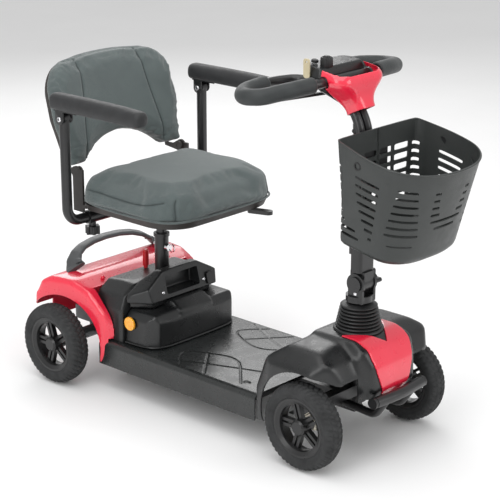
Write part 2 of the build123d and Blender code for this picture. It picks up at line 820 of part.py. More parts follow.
reflector_r = 17.0
reflector_y = battery_rear_y - 20.0
reflector_z = 180.0
with BuildPart() as reflectors:
    for out in (1, -1):
        with BuildSketch(yz_plane(out * (battery_half_w + 0.02))):
            with Locations((reflector_y, reflector_z)):
                Circle(reflector_r)
        extrude(amount=out * 5)
    fillet(reflectors.edges().filter_by(GeomType.CIRCLE).sort_by(Axis.X)[0], 2)
    fillet(reflectors.edges().filter_by(GeomType.CIRCLE).sort_by(Axis.X)[-1], 2)
reflectors.part.label = "reflectors"
export_step(reflectors.part, "parts/reflectors.step")

handle_foot_x = 131.0
handle_foot_y = ra + 24.0
handle_foot_z = 269.5
with BuildPart() as rear_handle:
    add(
        round_tube(
            [
                (-handle_foot_x, handle_foot_y, handle_foot_z + 3),
                (-handle_foot_x + 14, handle_foot_y + 18, handle_foot_z + 30),
                (0, handle_foot_y + 46, handle_foot_z + 46),
                (handle_foot_x - 14, handle_foot_y + 18, handle_foot_z + 30),
                (handle_foot_x, handle_foot_y, handle_foot_z + 3),
            ],
            (18, 170, 18),
            9,
        )
    )
    for out in (1, -1):
        with Locations((out * handle_foot_x, handle_foot_y - 2, handle_foot_z + 8)):
            Box(34, 50, 7)
rear_handle.part.label = "rear_handle"
export_step(rear_handle.part, "parts/rear_handle.step")

with BuildPart() as freewheel_lever:
    with BuildSketch(yz_plane(-3)):
        with Locations((lever_y, lever_pivot_z)):
            Circle(9)
            Circle(3 + running, mode=Mode.SUBTRACT)
        with Locations((lever_y, lever_pivot_z + 24)):
            Rectangle(9, 38)
    extrude(amount=6)
    with BuildSketch(Plane.XY.offset(lever_pivot_z + 34)):
        with Locations((0, lever_y)):
            RectangleRounded(13, 13, 4)
    extrude(amount=42)
    fillet(freewheel_lever.edges().group_by(Axis.Z)[-1], 4)
freewheel_lever.part.label = "freewheel_lever"
export_step(freewheel_lever.part, "parts/freewheel_lever.step")

# ---- battery pack ----
battery_side = (
    [
        (battery_front_y, battery_bottom_z),
        (battery_front_y + 2, 192),
        (battery_front_y + 14, battery_split_z),
        (battery_rear_y, battery_split_z),
        (battery_rear_y, battery_bottom_z),
    ],
    2,
)
battery_front = (
    mirrored(
        [
            (battery_half_w, battery_bottom_z),
            (battery_half_w - 4, 195),
            (battery_half_w - 20, battery_split_z),
        ]
    ),
    8,
)
battery_plan = (
    mirrored(
        [
            (battery_half_w + 1, battery_rear_y),
            (battery_half_w - 2, battery_front_y + 28),
            (battery_half_w - 22, battery_front_y + 3),
            (60, battery_front_y),
        ]
    ),
    8,
)
case_outer = three_view_form(battery_side, battery_front, battery_plan)
case_inner = three_view_form(battery_side, battery_front, battery_plan, shell_wall)
with BuildPart() as battery_case:
    add(case_outer)
    add(case_inner, mode=Mode.SUBTRACT)
battery_case.part.label = "battery_case"
export_step(battery_case.part, "parts/battery_case.step")

cell_w = 130.0
cell_d = 76.0
cell_h = 66.0
with BuildPart() as battery_cells:
    with Locations((68, 0, 0), (-68, 0, 0)):
        cell_y = (battery_front_y + battery_rear_y) / 2 + 4
        with Locations((0, cell_y, battery_bottom_z + shell_wall + cell_h / 2)):
            Box(cell_w, cell_d, cell_h)
    fillet(battery_cells.edges().filter_by(Axis.Z), 4)
battery_cells.part.label = "battery_cells"
export_step(battery_cells.part, "parts/battery_cells.step")

hood_side = (
    [
        (hood_front_y, hood_bottom_z),
        (hood_front_y + 18, hood_top_z),
        (hood_front_y + 42, hood_top_z - 3),
        (battery_rear_y, 272),
        (battery_rear_y, hood_bottom_z),
    ],
    5,
)
hood_front = (
    mirrored([(150, hood_bottom_z), (138, 250), (104, 268), (62, 294), (30, hood_top_z)]),
    9,
)
hood_plan = (mirrored([(battery_half_w, battery_rear_y), (110, hood_front_y - 0.5)]), 3)
grip_gap_half_w = 56.0
with BuildPart() as battery_hood:
    add(three_view_form(hood_side, hood_front, hood_plan))
    with BuildSketch(Plane.XY.offset(battery_split_z)):
        with BuildLine():
            Polyline(*mirrored([(134, battery_rear_y), (98, hood_front_y + 10)]), close=True)
        make_face()
    extrude(amount=hood_bottom_z - battery_split_z + 2)
    with Locations((0, hood_front_y + 16, 261)):
        Box(2 * grip_gap_half_w, 50, 44, mode=Mode.SUBTRACT)
    socket_y = hood_front_y + (socket_z - hood_bottom_z) * math.tan(math.radians(hood_lean))
    socket_plane = Plane(
        origin=(socket_x, socket_y, socket_z),
        x_dir=(1, 0, 0),
        z_dir=(0, -math.cos(math.radians(hood_lean)), math.sin(math.radians(hood_lean))),
    )
    with BuildSketch(socket_plane):
        Circle(socket_r)
    extrude(amount=-16, mode=Mode.SUBTRACT)
battery_hood.part.label = "battery_hood"
export_step(battery_hood.part, "parts/battery_hood.step")

with BuildPart() as socket_cover:
    with BuildSketch(socket_plane.offset(joint_gap)):
        RectangleRounded(27, 30, 5)
    extrude(amount=flap_t)
    flap_hinge = socket_plane.offset(joint_gap + flap_t + 0.8).from_local_coords((0, 14, 0))
    with Locations(flap_hinge):
        Cylinder(flap_barrel_r, 22, rotation=(0, 90, 0))
socket_cover.part.label = "socket_cover"
export_step(socket_cover.part, "parts/socket_cover.step")

# ---- seat post, height pin and seat bracket ----
plate_z = shell_bottom_z - seat_plate_t
inner_post_low_z = spine_bottom_z + 70.0
swivel_z = 404.0
with BuildPart() as seat_post:
    with BuildSketch(Plane.XY.offset(inner_post_low_z)):
        with Locations((0, post_y)):
            Circle(post_inner_r)
    extrude(amount=swivel_z - inner_post_low_z + 26)
    with BuildSketch(Plane.XY.offset(swivel_z - 10)):
        with Locations((0, post_y)):
            Circle(post_inner_r + 11)
    extrude(amount=10)
    slot_len = post_travel_up + post_travel_down
    slot_mid_z = pin_z - post_travel_up / 2 + post_travel_down / 2
    with Locations((0, post_y, slot_mid_z)):
        Box(2 * (pin_r + slide_fit), 60, slot_len + 2 * (pin_r + slide_fit), mode=Mode.SUBTRACT)
seat_post.part.label = "seat_post"
export_step(seat_post.part, "parts/seat_post.step")

pin_head_r = 9.0
with BuildPart() as post_pin:
    with BuildSketch(xz_plane(post_y + post_outer_r + 8)):
        with Locations((0, pin_z)):
            Circle(pin_r)
    extrude(amount=2 * post_outer_r + 14)
    with BuildSketch(xz_plane(post_y - post_outer_r - joint_gap)):
        with Locations((0, pin_z)):
            Circle(pin_head_r)
    extrude(amount=9)
    ring_y = post_y - post_outer_r - joint_gap - 16
    with BuildSketch(yz_plane(-1.5)):
        with Locations((ring_y, pin_z)):
            Circle(11)
            Circle(8, mode=Mode.SUBTRACT)
    extrude(amount=3)
post_pin.part.label = "post_pin"
export_step(post_pin.part, "parts/post_pin.step")

with BuildPart() as seat_bracket:
    with BuildSketch(Plane.XY.offset(swivel_z + joint_gap)):
        with Locations((0, post_y)):
            Circle(post_inner_r + 11)
    extrude(amount=plate_z - swivel_z - joint_gap)
    with Locations((0, (seat_front_y + arm_y) / 2 + 50, plate_z + seat_plate_t / 2)):
        Box(210, arm_y - seat_front_y - 60, seat_plate_t)
    for out in (1, -1):
        with Locations((out * 80, arm_y, (arm_cross_z + plate_z) / 2)):
            Box(24, 28, plate_z - arm_cross_z)
        with Locations((out * 55, (post_y + arm_y) / 2, plate_z - 8)):
            Box(16, arm_y - post_y + 40, 16)
    with BuildSketch(yz_plane(-receiver_end_x)):
        with Locations((arm_y, arm_cross_z)):
            Circle(receiver_r)
    extrude(amount=2 * receiver_end_x)
    with BuildSketch(yz_plane(-receiver_end_x)):
        with Locations((arm_y, arm_cross_z)):
            Circle(arm_tube_r + slide_fit)
    extrude(amount=2 * receiver_end_x, mode=Mode.SUBTRACT)
    for out in (1, -1):
        with BuildSketch(Plane.XY.offset(arm_cross_z - receiver_r - 8)):
            with Locations((out * arm_knob_x, arm_y)):
                Circle(9)
        extrude(amount=12)
        with BuildSketch(Plane.XY.offset(arm_cross_z - receiver_r - 9)):
            with Locations((out * arm_knob_x, arm_y)):
                Circle(4 + slide_fit)
        extrude(amount=18, mode=Mode.SUBTRACT)
    with Locations((0, post_y, (swivel_z + inner_post_low_z) / 2)):
        Cylinder(post_inner_r + slide_fit, swivel_z + 2 * 26 + 2 - inner_post_low_z, mode=Mode.SUBTRACT)
seat_bracket.part.label = "seat_bracket"
export_step(seat_bracket.part, "parts/seat_bracket.step")

lever_seat_y = post_y - 150.0
with BuildPart() as swivel_lever:
    with BuildSketch(Plane.XY.offset(plate_z - joint_gap - 5)):
        slot_between((70, lever_seat_y + 60), (118, seat_front_y + 6), 15)
    extrude(amount=5)
    with BuildSketch(Plane.XY.offset(plate_z - joint_gap - 5)):
        with Locations((70, lever_seat_y + 60)):
            Circle(10)
    extrude(amount=-6)
    with BuildSketch(Plane.XY.offset(plate_z - joint_gap - 9)):
        slot_between((108, seat_front_y + 32), (122, seat_front_y - 8), 22)
    extrude(amount=9)
swivel_lever.part.label = "swivel_lever"
export_step(swivel_lever.part, "parts/swivel_lever.step")

# ---- seat shell, cushion and backrest ----
seat_mid_y = (seat_front_y + seat_rear_y) / 2
seat_len = seat_rear_y - seat_front_y
seat_front_corner = 95.0
seat_rear_corner = 40.0


def seat_outline(inset):
    """The seat seen from above: wide round front corners and smaller rear ones."""
    with BuildSketch() as flat:
        with Locations((0, seat_mid_y)):
            Rectangle(2 * (seat_half_w - inset), seat_len - 2 * inset)
        fillet(flat.vertices().group_by(Axis.Y)[0], seat_front_corner - inset)
        fillet(flat.vertices().group_by(Axis.Y)[-1], seat_rear_corner - inset)
    return flat.sketch


with BuildPart() as seat_shell:
    with BuildSketch(Plane.XY.offset(shell_bottom_z)):
        add(seat_outline(14))
    extrude(amount=cushion_bottom_z - shell_bottom_z - seat_gap, taper=-24)
    for out in (1, -1):
        with Locations((out * 178, hinge_y - 8, hinge_z - 44)):
            Box(6, 34, 104)
        with Locations((out * 168, seat_rear_y - 6, shell_bottom_z + 5)):
            Box(26, 34, 8)
    with BuildSketch(yz_plane(-175)):
        with Locations((hinge_y, hinge_z)):
            Circle(14)
    extrude(amount=-6)
    with BuildSketch(yz_plane(175)):
        with Locations((hinge_y, hinge_z)):
            Circle(14)
    extrude(amount=6)
    for out in (1, -1):
        with BuildSketch(yz_plane(out * 175)):
            with Locations((hinge_y, hinge_z)):
                Circle(5)
        extrude(amount=-out * 9)
seat_shell.part.label = "seat_shell"
export_step(seat_shell.part, "parts/seat_shell.step")

with BuildPart() as seat_cushion:
    with BuildSketch(Plane.XY.offset(cushion_bottom_z)):
        add(seat_outline(0))
    extrude(amount=cushion_top_z - cushion_bottom_z)
    fillet(seat_cushion.edges().group_by(Axis.Z)[-1], 26)
    fillet(seat_cushion.edges().group_by(Axis.Z)[0], 8)
    for out in (1, -1):
        with Locations((out * 178, seat_rear_y + 6, cushion_top_z)):
            Box(14, 40, 200, mode=Mode.SUBTRACT)
seat_cushion.part.label = "seat_cushion"
export_step(seat_cushion.part, "parts/seat_cushion.step")

lean_sin = math.sin(math.radians(back_lean))
lean_cos = math.cos(math.radians(back_lean))
back_plane = Plane(origin=(0, hinge_y, hinge_z), x_dir=(1, 0, 0), z_dir=(0, -lean_cos, lean_sin))
back_plan_plane = Plane(origin=(0, hinge_y, hinge_z), x_dir=(1, 0, 0), z_dir=(0, lean_sin, lean_cos))


def backrest_form(front_offset, thickness, inset):
    """A leaned, plan-curved panel with a rounded arch between its two legs."""
    with BuildPart() as form:
        with BuildSketch(back_plane):
            with BuildLine():
                leg_foot = (-180 + inset, 14 + inset)
                Polyline(leg_foot, (-190 + inset, 80), (-200 + inset, 130), (-199 + inset, 190))
                shoulder_end = (-110, back_height - 10 - inset)
                ThreePointArc((-199 + inset, 190), (-168 + inset, 250 - inset), shoulder_end)
                crown = back_height - inset
                ThreePointArc((-110, crown - 10), (0, crown), (110, crown - 10))
                ThreePointArc((110, back_height - 10 - inset), (168 - inset, 250 - inset), (199 - inset, 190))
                Polyline((199 - inset, 190), (200 - inset, 130), (190 - inset, 80), (180 - inset, 14 + inset))
                Line((180 - inset, 14 + inset), (132 + inset, 14 + inset))
                ThreePointArc((132 + inset, 14 + inset), (0, 74 + inset), (-132 - inset, 14 + inset))
                Line((-132 - inset, 14 + inset), (-180 + inset, 14 + inset))
            make_face()
        extrude(amount=150, both=True)
        with BuildSketch(back_plan_plane):
            with BuildLine():
                side_y = front_offset
                mid_y = front_offset + back_curve
                ThreePointArc((-215, side_y), (0, mid_y), (215, side_y))
                Line((215, side_y), (215, side_y + thickness))
                ThreePointArc((215, side_y + thickness), (0, mid_y + thickness), (-215, side_y + thickness))
                Line((-215, side_y + thickness), (-215, side_y))
            make_face()
        extrude(amount=400, both=True, mode=Mode.INTERSECT)
    return form.part


back_front = -12.0
with BuildPart() as backrest_cushion:
    add(backrest_form(back_front, back_pad_t, 0))
backrest_cushion.part.label = "backrest_cushion"
export_step(backrest_cushion.part, "parts/backrest_cushion.step")

with BuildPart() as backrest_shell:
    add(backrest_form(back_front + back_pad_t + seat_gap, back_shell_t, 6))
    for out in (1, -1):
        with BuildSketch(yz_plane(out * 165)):
            with BuildLine():
                Polyline(
                    (hinge_y - 10, hinge_z),
                    (hinge_y, hinge_z - 11.5),
                    (hinge_y + 45, hinge_z - 6),
                    (hinge_y + 53, hinge_z + 36),
                    (hinge_y + 46.5, hinge_z + 39),
                    (hinge_y + 37, hinge_z + 3),
                    (hinge_y + 20, hinge_z + 3),
                    (hinge_y + 2, hinge_z + 11),
                    close=True,
                )
            make_face()
            with Locations((hinge_y, hinge_z)):
                Circle(12)
                Circle(5 + running, mode=Mode.SUBTRACT)
        extrude(amount=out * 5.6)
backrest_shell.part.label = "backrest_shell"
export_step(backrest_shell.part, "parts/backrest_shell.step")

# ---- arm tubes, armrests and clamp knobs ----
for side, out in side_names:
    tube_x = out * arm_x
    arm_points = [(out * 60, arm_y, arm_cross_z), (tube_x, arm_y, arm_cross_z), (tube_x, arm_y, arm_pivot_z)]
    with BuildPart() as arm_tube:
        add(round_tube(arm_points, 36, arm_tube_r))
        with BuildSketch(yz_plane(tube_x - 9)):
            with Locations((arm_y, arm_pivot_z)):
                Circle(arm_tube_r)
                Circle(4 + running, mode=Mode.SUBTRACT)
        extrude(amount=18)
        with BuildSketch(yz_plane(tube_x - 15)):
            with Locations((arm_y, arm_pivot_z)):
                Circle(4 + running)
        extrude(amount=30, mode=Mode.SUBTRACT)
    arm_tube.part.label = f"arm_tube_{side}"
    export_step(arm_tube.part, f"parts/arm_tube_{side}.step")

    with BuildPart() as arm_bracket:
        for cheek in (1, -1):
            with BuildSketch(yz_plane(tube_x + cheek * (arm_tube_r + joint_gap))):
                slot_between((arm_y, arm_pivot_z), (arm_y, pad_bottom_z - 8), 26)
                with Locations((arm_y - 20, pad_bottom_z - 6)):
                    Rectangle(76, 12)
            extrude(amount=cheek * 3)
        with Locations((tube_x, arm_y - 20, pad_bottom_z - 1.5)):
            Box(2 * (arm_tube_r + joint_gap + 3), 76, 3)
        with Locations((tube_x, arm_y, pad_bottom_z + 20 - 0.05)):
            Box(100, 200, 40, mode=Mode.SUBTRACT)
        with BuildSketch(yz_plane(tube_x - arm_tube_r - joint_gap - 3)):
            with Locations((arm_y, arm_pivot_z)):
                Circle(4)
        extrude(amount=2 * (arm_tube_r + joint_gap + 3))

    with BuildPart() as armrest:
        with BuildSketch(yz_plane(tube_x)) as pad_side:
            with BuildLine():
                Polyline(
                    (pad_rear_y, pad_bottom_z),
                    (pad_rear_y, pad_bottom_z + pad_t),
                    (pad_front_y + 60, pad_bottom_z + pad_t),
                    (pad_front_y + 16, pad_bottom_z + pad_t - 7),
                    (pad_front_y, pad_bottom_z + 2),
                    (pad_front_y + 10, pad_bottom_z - 12),
                    (pad_front_y + 40, pad_bottom_z),
                    close=True,
                )
            make_face()
            fillet(pad_side.vertices().group_by(Axis.X)[-1], 9)
        extrude(amount=pad_half_w, both=True)
        fillet(armrest.edges().group_by(Axis.X)[0] + armrest.edges().group_by(Axis.X)[-1], 6)
        add(arm_bracket.part)
    armrest.part.label = f"armrest_{side}"
    export_step(armrest.part, f"parts/armrest_{side}.step")

    knob_top_z = arm_cross_z - receiver_r - 8 - joint_gap
    with BuildPart() as arm_knob:
        with BuildSketch(Plane.XY.offset(knob_top_z - 20)):
            with Locations((out * arm_knob_x, arm_y)):
                Circle(14)
                with PolarLocations(14, 6):
                    Circle(4.5)
        extrude(amount=20)
        with BuildSketch(Plane.XY.offset(knob_top_z)):
            with Locations((out * arm_knob_x, arm_y)):
                Circle(4)
        extrude(amount=9)
    arm_knob.part.label = f"arm_knob_{side}"
    export_step(arm_knob.part, f"parts/arm_knob_{side}.step")

# ---- tiller ----
tube_top_y = bar_y - 2
tube_top_z = bar_z - bar_tube_r - 3
tiller_route = [
    (fold_y + 1, tiller_low_z),
    (tiller_bend_y, tiller_bend_z),
    (tube_top_y, tube_top_z),
]
sleeve_low_z = fold_z + fold_boss_r + 4
sleeve_top_z = 470.0
with BuildPart() as tiller_column:
    with BuildSketch(yz_plane(-tongue_half_w)):
        with Locations((fold_y, fold_z)):
            Circle(fold_boss_r - 3)
        with Locations((fold_y, (fold_z + sleeve_low_z) / 2)):
            Rectangle(2 * (fold_boss_r - 4), sleeve_low_z - fold_z + 1)
    extrude(amount=2 * tongue_half_w)
    with BuildSketch(Plane.XY.offset(sleeve_low_z)):
        with Locations((0, fold_y + 0.5)):
            RectangleRounded(2 * (tiller_tube_x + tiller_tube_r + 4), 2 * (tiller_tube_r + 5), 10)
    extrude(amount=sleeve_top_z - sleeve_low_z)
    for out in (1, -1):
        add(round_tube([(out * tiller_tube_x, y, z) for y, z in tiller_route], 110, tiller_tube_r))
    with Locations((-10, tiller_bend_y + tiller_tube_r + 5, 462)):
        Box(16, 14, 20)
    with Locations((0, fold_y, fold_z)):
        Cylinder(fold_pin_r + running, 200, rotation=(0, 90, 0), mode=Mode.SUBTRACT)
tiller_column.part.label = "tiller_column"
export_step(tiller_column.part, "parts/tiller_column.step")

knob_x = tongue_half_w + joint_gap + cheek_t + joint_gap
with BuildPart() as fold_knob:
    with BuildSketch(yz_plane(knob_x)):
        with Locations((fold_y, fold_z)):
            Circle(11)
            with PolarLocations(12, 4):
                SlotOverall(22, 10)
            Circle(fold_pin_r - 1 + running, mode=Mode.SUBTRACT)
    extrude(amount=18)
    fillet(fold_knob.edges().group_by(Axis.X)[-1].filter_by(GeomType.CIRCLE).sort_by(SortBy.LENGTH)[-1], 1)
fold_knob.part.label = "fold_knob"
export_step(fold_knob.part, "parts/fold_knob.step")

# the head: one cobra-shaped form, split into a front cover and a rear console
# each section: y, z, width, depth, corner radius, backward lean of its normal
head_sections = (
    (fa + 4, 770, 60, 54, 18, 27),
    (fa + 24, 804, 92, 66, 22, 16),
    (fa + 47, 836, 154, 106, 30, 3),
    (fa + 54, 864, 138, 110, 30, -9),
)


def head_form(inset):
    """The cobra-shaped head, with its sections drawn in by one wall."""
    with BuildPart() as form:
        for y, z, width, depth, corner, lean in head_sections:
            tilt = math.radians(lean)
            plane = Plane(origin=(0, y, z), x_dir=(1, 0, 0), z_dir=(0, math.sin(tilt), math.cos(tilt)))
            with BuildSketch(plane):
                RectangleRounded(width - 2 * inset, depth - 2 * inset, corner - inset)
        loft()
    return form.part


bar_points = (
    (0, 0, 0),
    (90, 0, 0),
    (165, 12, -3),
    (227, 40, -12),
    (237, 84, -16),
    (200, 114, -14),
    (110, 116, -8),
    (52, 96, -8),
    (44, 30, -10),
)
bar_radii = (150, 150, 32, 32, 60, 100, 30)


def bar_point(point, out):
    """A handlebar corner, given from the middle of the bar, on one side."""
    return (out * point[0], bar_y + point[1], bar_z + point[2])


def between(start, end, share):
    return tuple(a + (b - a) * share for a, b in zip(start, end))


def bar_half(out, tube_r):
    return round_tube([bar_point(p, out) for p in bar_points], bar_radii, tube_r)


throttle_y = fa + 84.0
throttle_z = 799.0
throttle_t = 6.0
head_outer = head_form(0)
head_inner = head_form(3.0)
split_normal = Vector(0, math.cos(math.radians(14)), -math.sin(math.radians(14)))
for label, is_front in (("head_cover", True), ("console", False)):
    with BuildPart() as head_piece:
        add(head_outer)
        if is_front:
            add(head_inner, mode=Mode.SUBTRACT)
        split_y = head_split_y - 0.2 if is_front else head_split_y + 0.2
        split_plane = Plane(origin=(0, split_y, 850), x_dir=(1, 0, 0), z_dir=split_normal)
        split(bisect_by=split_plane, keep=Keep.BOTTOM if is_front else Keep.TOP)
        for out in (1, -1):
            add(bar_half(out, bar_tube_r + 0.4), mode=Mode.SUBTRACT)
            clear_route = [(out * tiller_tube_x, y, z) for y, z in tiller_route]
            add(round_tube(clear_route, 110, tiller_tube_r + 0.4), mode=Mode.SUBTRACT)
        if not is_front:
            with BuildSketch(Plane.XY.offset(throttle_z - 3)):
                with Locations((0, throttle_y)):
                    Circle(3)
            extrude(amount=40)
            with BuildSketch(Plane.XY.offset(throttle_z - 4)):
                with Locations((0, throttle_y)):
                    Circle(6)
            extrude(amount=3.6)
            with BuildSketch(yz_plane(key_x)):
                with Locations((key_y, key_z)):
                    Circle(key_shank_r + running)
            extrude(amount=12, mode=Mode.SUBTRACT)
    head_piece.part.label = label
    export_step(head_piece.part, f"parts/{label}.step")

with BuildPart() as handlebar:
    for out in (1, -1):
        add(bar_half(out, bar_tube_r))
handlebar.part.label = "handlebar"
export_step(handlebar.part, "parts/handlebar.step")

with BuildPart() as grips:
    for out in (1, -1):
        corners = [between(bar_points[1], bar_points[2], 0.2)]
        corners += list(bar_points[2:6])
        corners += [between(bar_points[5], bar_points[6], 0.78)]
        grip_route = [bar_point(p, out) for p in corners]
        add(round_tube(grip_route, bar_radii[1:5], grip_r, bar_tube_r))
grips.part.label = "grips"
export_step(grips.part, "parts/grips.step")

with BuildPart() as throttle_lever:
    with BuildSketch(Plane.XY.offset(throttle_z)):
        with Locations((0, throttle_y)):
            Circle(11)
        for out in (1, -1):
            slot_between((0, throttle_y), (out * 42, throttle_y + 11), 12)
            slot_between((out * 42, throttle_y + 11), (out * 142, throttle_y + 35), 13)
        with Locations((0, throttle_y)):
            Circle(3 + running, mode=Mode.SUBTRACT)
    extrude(amount=throttle_t)
    fillet(throttle_lever.edges().group_by(Axis.Z)[-1], 2)
throttle_lever.part.label = "throttle_lever"
export_step(throttle_lever.part, "parts/throttle_lever.step")

# small controls stand on the console's top face
top_lean = math.radians(head_sections[-1][5])


def top_point(x, dy, lift=0.0):
    """A point on the head's top face, lifted along the face's normal."""
    y0, z0 = head_sections[-1][0], head_sections[-1][1]
    y_dir = Vector(0, math.cos(top_lean), -math.sin(top_lean))
    normal = Vector(0, math.sin(top_lean), math.cos(top_lean))
    return Vector(x, y0, z0) + y_dir * dy + normal * lift


top_normal = Vector(0, math.sin(top_lean), math.cos(top_lean))
dial_r = 12.0
with BuildPart() as speed_dial:
    with BuildSketch(Plane(origin=top_point(-40, 18, 0.3), x_dir=(1, 0, 0), z_dir=top_normal)):
        Circle(dial_r)
        with PolarLocations(dial_r, 12):
            Circle(1.6)
    extrude(amount=20)
    fillet(speed_dial.edges().group_by(Axis.Z)[-1], 1)
speed_dial.part.label = "speed_dial"
export_step(speed_dial.part, "parts/speed_dial.step")

with BuildPart() as horn_button:
    with BuildSketch(Plane(origin=top_point(-50, 42, 2.6), x_dir=(1, 0, 0), z_dir=top_normal)):
        Circle(8)
    extrude(amount=6)
    fillet(horn_button.edges().group_by(Axis.Z)[-1], 3)
horn_button.part.label = "horn_button"
export_step(horn_button.part, "parts/horn_button.step")

with BuildPart() as ignition_key:
    with BuildSketch(yz_plane(key_x)):
        with Locations((key_y, key_z)):
            Circle(key_shank_r)
    extrude(amount=7)
    with BuildSketch(yz_plane(key_x)):
        with Locations((key_y, key_z + 14)):
            RectangleRounded(17, 42, 6)
        with Locations((key_y, key_z + 28)):
            Circle(2.5, mode=Mode.SUBTRACT)
    extrude(amount=-3)
ignition_key.part.label = "ignition_key"
export_step(ignition_key.part, "parts/ignition_key.step")

# the wiring loom down the back of the column
loom_r = 4.0
loom_y = tiller_bend_y + tiller_tube_r + loom_r + 0.6
loom_route = [
    (-14, loom_y + 2, 745),
    (-13, loom_y, 700),
    (-16, loom_y + 1, 650),
    (-15, loom_y, 600),
    (-12, loom_y + 1.5, 548),
    (-9, loom_y + 0.5, 500),
    (-10, loom_y + 1, 474),
]
with BuildPart() as wiring_loom:
    add(round_tube(loom_route, 120, loom_r))
wiring_loom.part.label = "wiring_loom"
export_step(wiring_loom.part, "parts/wiring_loom.step")

# ---- basket and its bracket ----
rail_gap = 0.5
mount_plate_y = fa - 36.0
mount_plate_t = 4.0
mount_half_w = 40.0
mount_low_z = 600.0
mount_top_z = 716.0
with BuildPart() as basket_bracket:
    with Locations((0, mount_plate_y, (mount_low_z + mount_top_z) / 2)):
        Box(2 * mount_half_w, mount_plate_t, mount_top_z - mount_low_z)
    for low_z in (625, 675):
        with Locations((0, (mount_plate_y + fa + 2) / 2, low_z + 9)):
            Box(58, fa + 2 - mount_plate_y, 18)
    with Locations((tiller_tube_x, tiller_bend_y, 650), (-tiller_tube_x, tiller_bend_y, 650)):
        Cylinder(tiller_tube_r + 0.05, 200, mode=Mode.SUBTRACT)
basket_bracket.part.label = "basket_bracket"
export_step(basket_bracket.part, "parts/basket_bracket.step")

# outline corners as half width and distance forward of the rear wall
rim_outline = ((132, 0), (149, 87), (140, 166), (0, 217))
floor_outline = ((130, 0), (129, 62), (125, 117), (0, 152))


def basket_plane(rear_y, rear_z, tilt_deg, lift):
    """A plane across the basket, nose down; its second axis points rearwards."""
    tilt = math.radians(tilt_deg)
    normal = Vector(0, -math.sin(tilt), math.cos(tilt))
    return Plane(origin=Vector(0, rear_y, rear_z) + normal * lift, x_dir=(1, 0, 0), z_dir=normal)


def basket_section(outline, inset):
    """One D-shaped section: flat rear wall, straight sides and a bowed front."""
    rear, side, front, nose = outline
    with BuildSketch() as flat:
        with BuildLine():
            Line((-rear[0] + inset, -inset), (rear[0] - inset, -inset))
            Line((rear[0] - inset, -inset), (side[0] - inset, -side[1]))
            Line((side[0] - inset, -side[1]), (front[0] - inset, -front[1]))
            front_half = front[0] - inset
            ThreePointArc((front_half, -front[1]), (0, -nose[1] + inset), (-front_half, -front[1]))
            Line((-front[0] + inset, -front[1]), (-side[0] + inset, -side[1]))
            Line((-side[0] + inset, -side[1]), (-rear[0] + inset, -inset))
        make_face()
        fillet(flat.vertices().group_by(Axis.Y)[0] , 24)
        fillet(flat.vertices().group_by(Axis.Y)[-1], 16)
    return flat.sketch


def basket_form(inset, floor_lift, rim_lift):
    with BuildPart() as form:
        floor_plane = basket_plane(basket_floor_rear_y, basket_floor_rear_z, basket_floor_tilt, floor_lift)
        with BuildSketch(floor_plane):
            add(basket_section(floor_outline, inset))
        with BuildSketch(basket_plane(basket_rim_rear_y, basket_rim_rear_z, basket_rim_tilt, rim_lift)):
            add(basket_section(rim_outline, inset))
        loft(ruled=True)
    return form.part


slot_rows = 8
with BuildPart() as basket:
    add(basket_form(0, 0, 0))
    with BuildSketch(basket_plane(basket_rim_rear_y, basket_rim_rear_z, basket_rim_tilt, -9)):
        add(basket_section(rim_outline, -4))
    extrude(amount=9)
    add(basket_form(basket_wall, basket_wall, 0.5), mode=Mode.SUBTRACT)
    row_step = (basket_rim_rear_z - basket_floor_rear_z - 84) / slot_rows
    for row in range(slot_rows):
        slot_z = basket_floor_rear_z + 34 + row * row_step
        front_half = 62 - 3 * row
        with Locations((0, fa - 220, slot_z - 24)):
            Box(2 * front_half, 130, basket_slot_h, mode=Mode.SUBTRACT)
        with Locations((0, fa - 98, slot_z + 2)):
            Box(400, 52, basket_slot_h, rotation=(12, 0, 0), mode=Mode.SUBTRACT)
        with Locations((0, fa - 160, slot_z - 12)):
            Box(400, 44, basket_slot_h, rotation=(12, 0, 0), mode=Mode.SUBTRACT)
        with Locations((90, basket_rim_rear_y - 4, slot_z + 12), (-90, basket_rim_rear_y - 4, slot_z + 12)):
            Box(52, 24, basket_slot_h, mode=Mode.SUBTRACT)
    rail_front_y = basket_floor_rear_y - 1
    lip_y = mount_plate_y + mount_plate_t / 2 + rail_gap
    for out in (1, -1):
        rail_x = mount_half_w + rail_gap
        with Locations((out * (rail_x + 3), (rail_front_y + lip_y + 3) / 2, (mount_low_z + mount_top_z) / 2)):
            Box(6, lip_y + 3 - rail_front_y, mount_top_z - mount_low_z)
        with Locations((out * (rail_x - 1), lip_y + 1.5, (mount_low_z + mount_top_z) / 2)):
            Box(8, 3, mount_top_z - mount_low_z)
    with Locations((0, (rail_front_y + lip_y + 3) / 2, mount_top_z + rail_gap + 3)):
        Box(2 * (mount_half_w + rail_gap + 6), lip_y + 3 - rail_front_y, 6)
    for out in (1, -1):
        with Locations((out * (mount_half_w + rail_gap + 3), (rail_front_y + lip_y + 3) / 2, mount_top_z)):
            Box(6, lip_y + 3 - rail_front_y, 12)
basket.part.label = "basket"
export_step(basket.part, "parts/basket.step")
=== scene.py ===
"""The looks of a compact four-wheel mobility scooter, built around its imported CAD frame, in metres."""

import json
import math

import bmesh
import bpy
import numpy as np
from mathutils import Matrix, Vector, noise
from mathutils.bvhtree import BVHTree


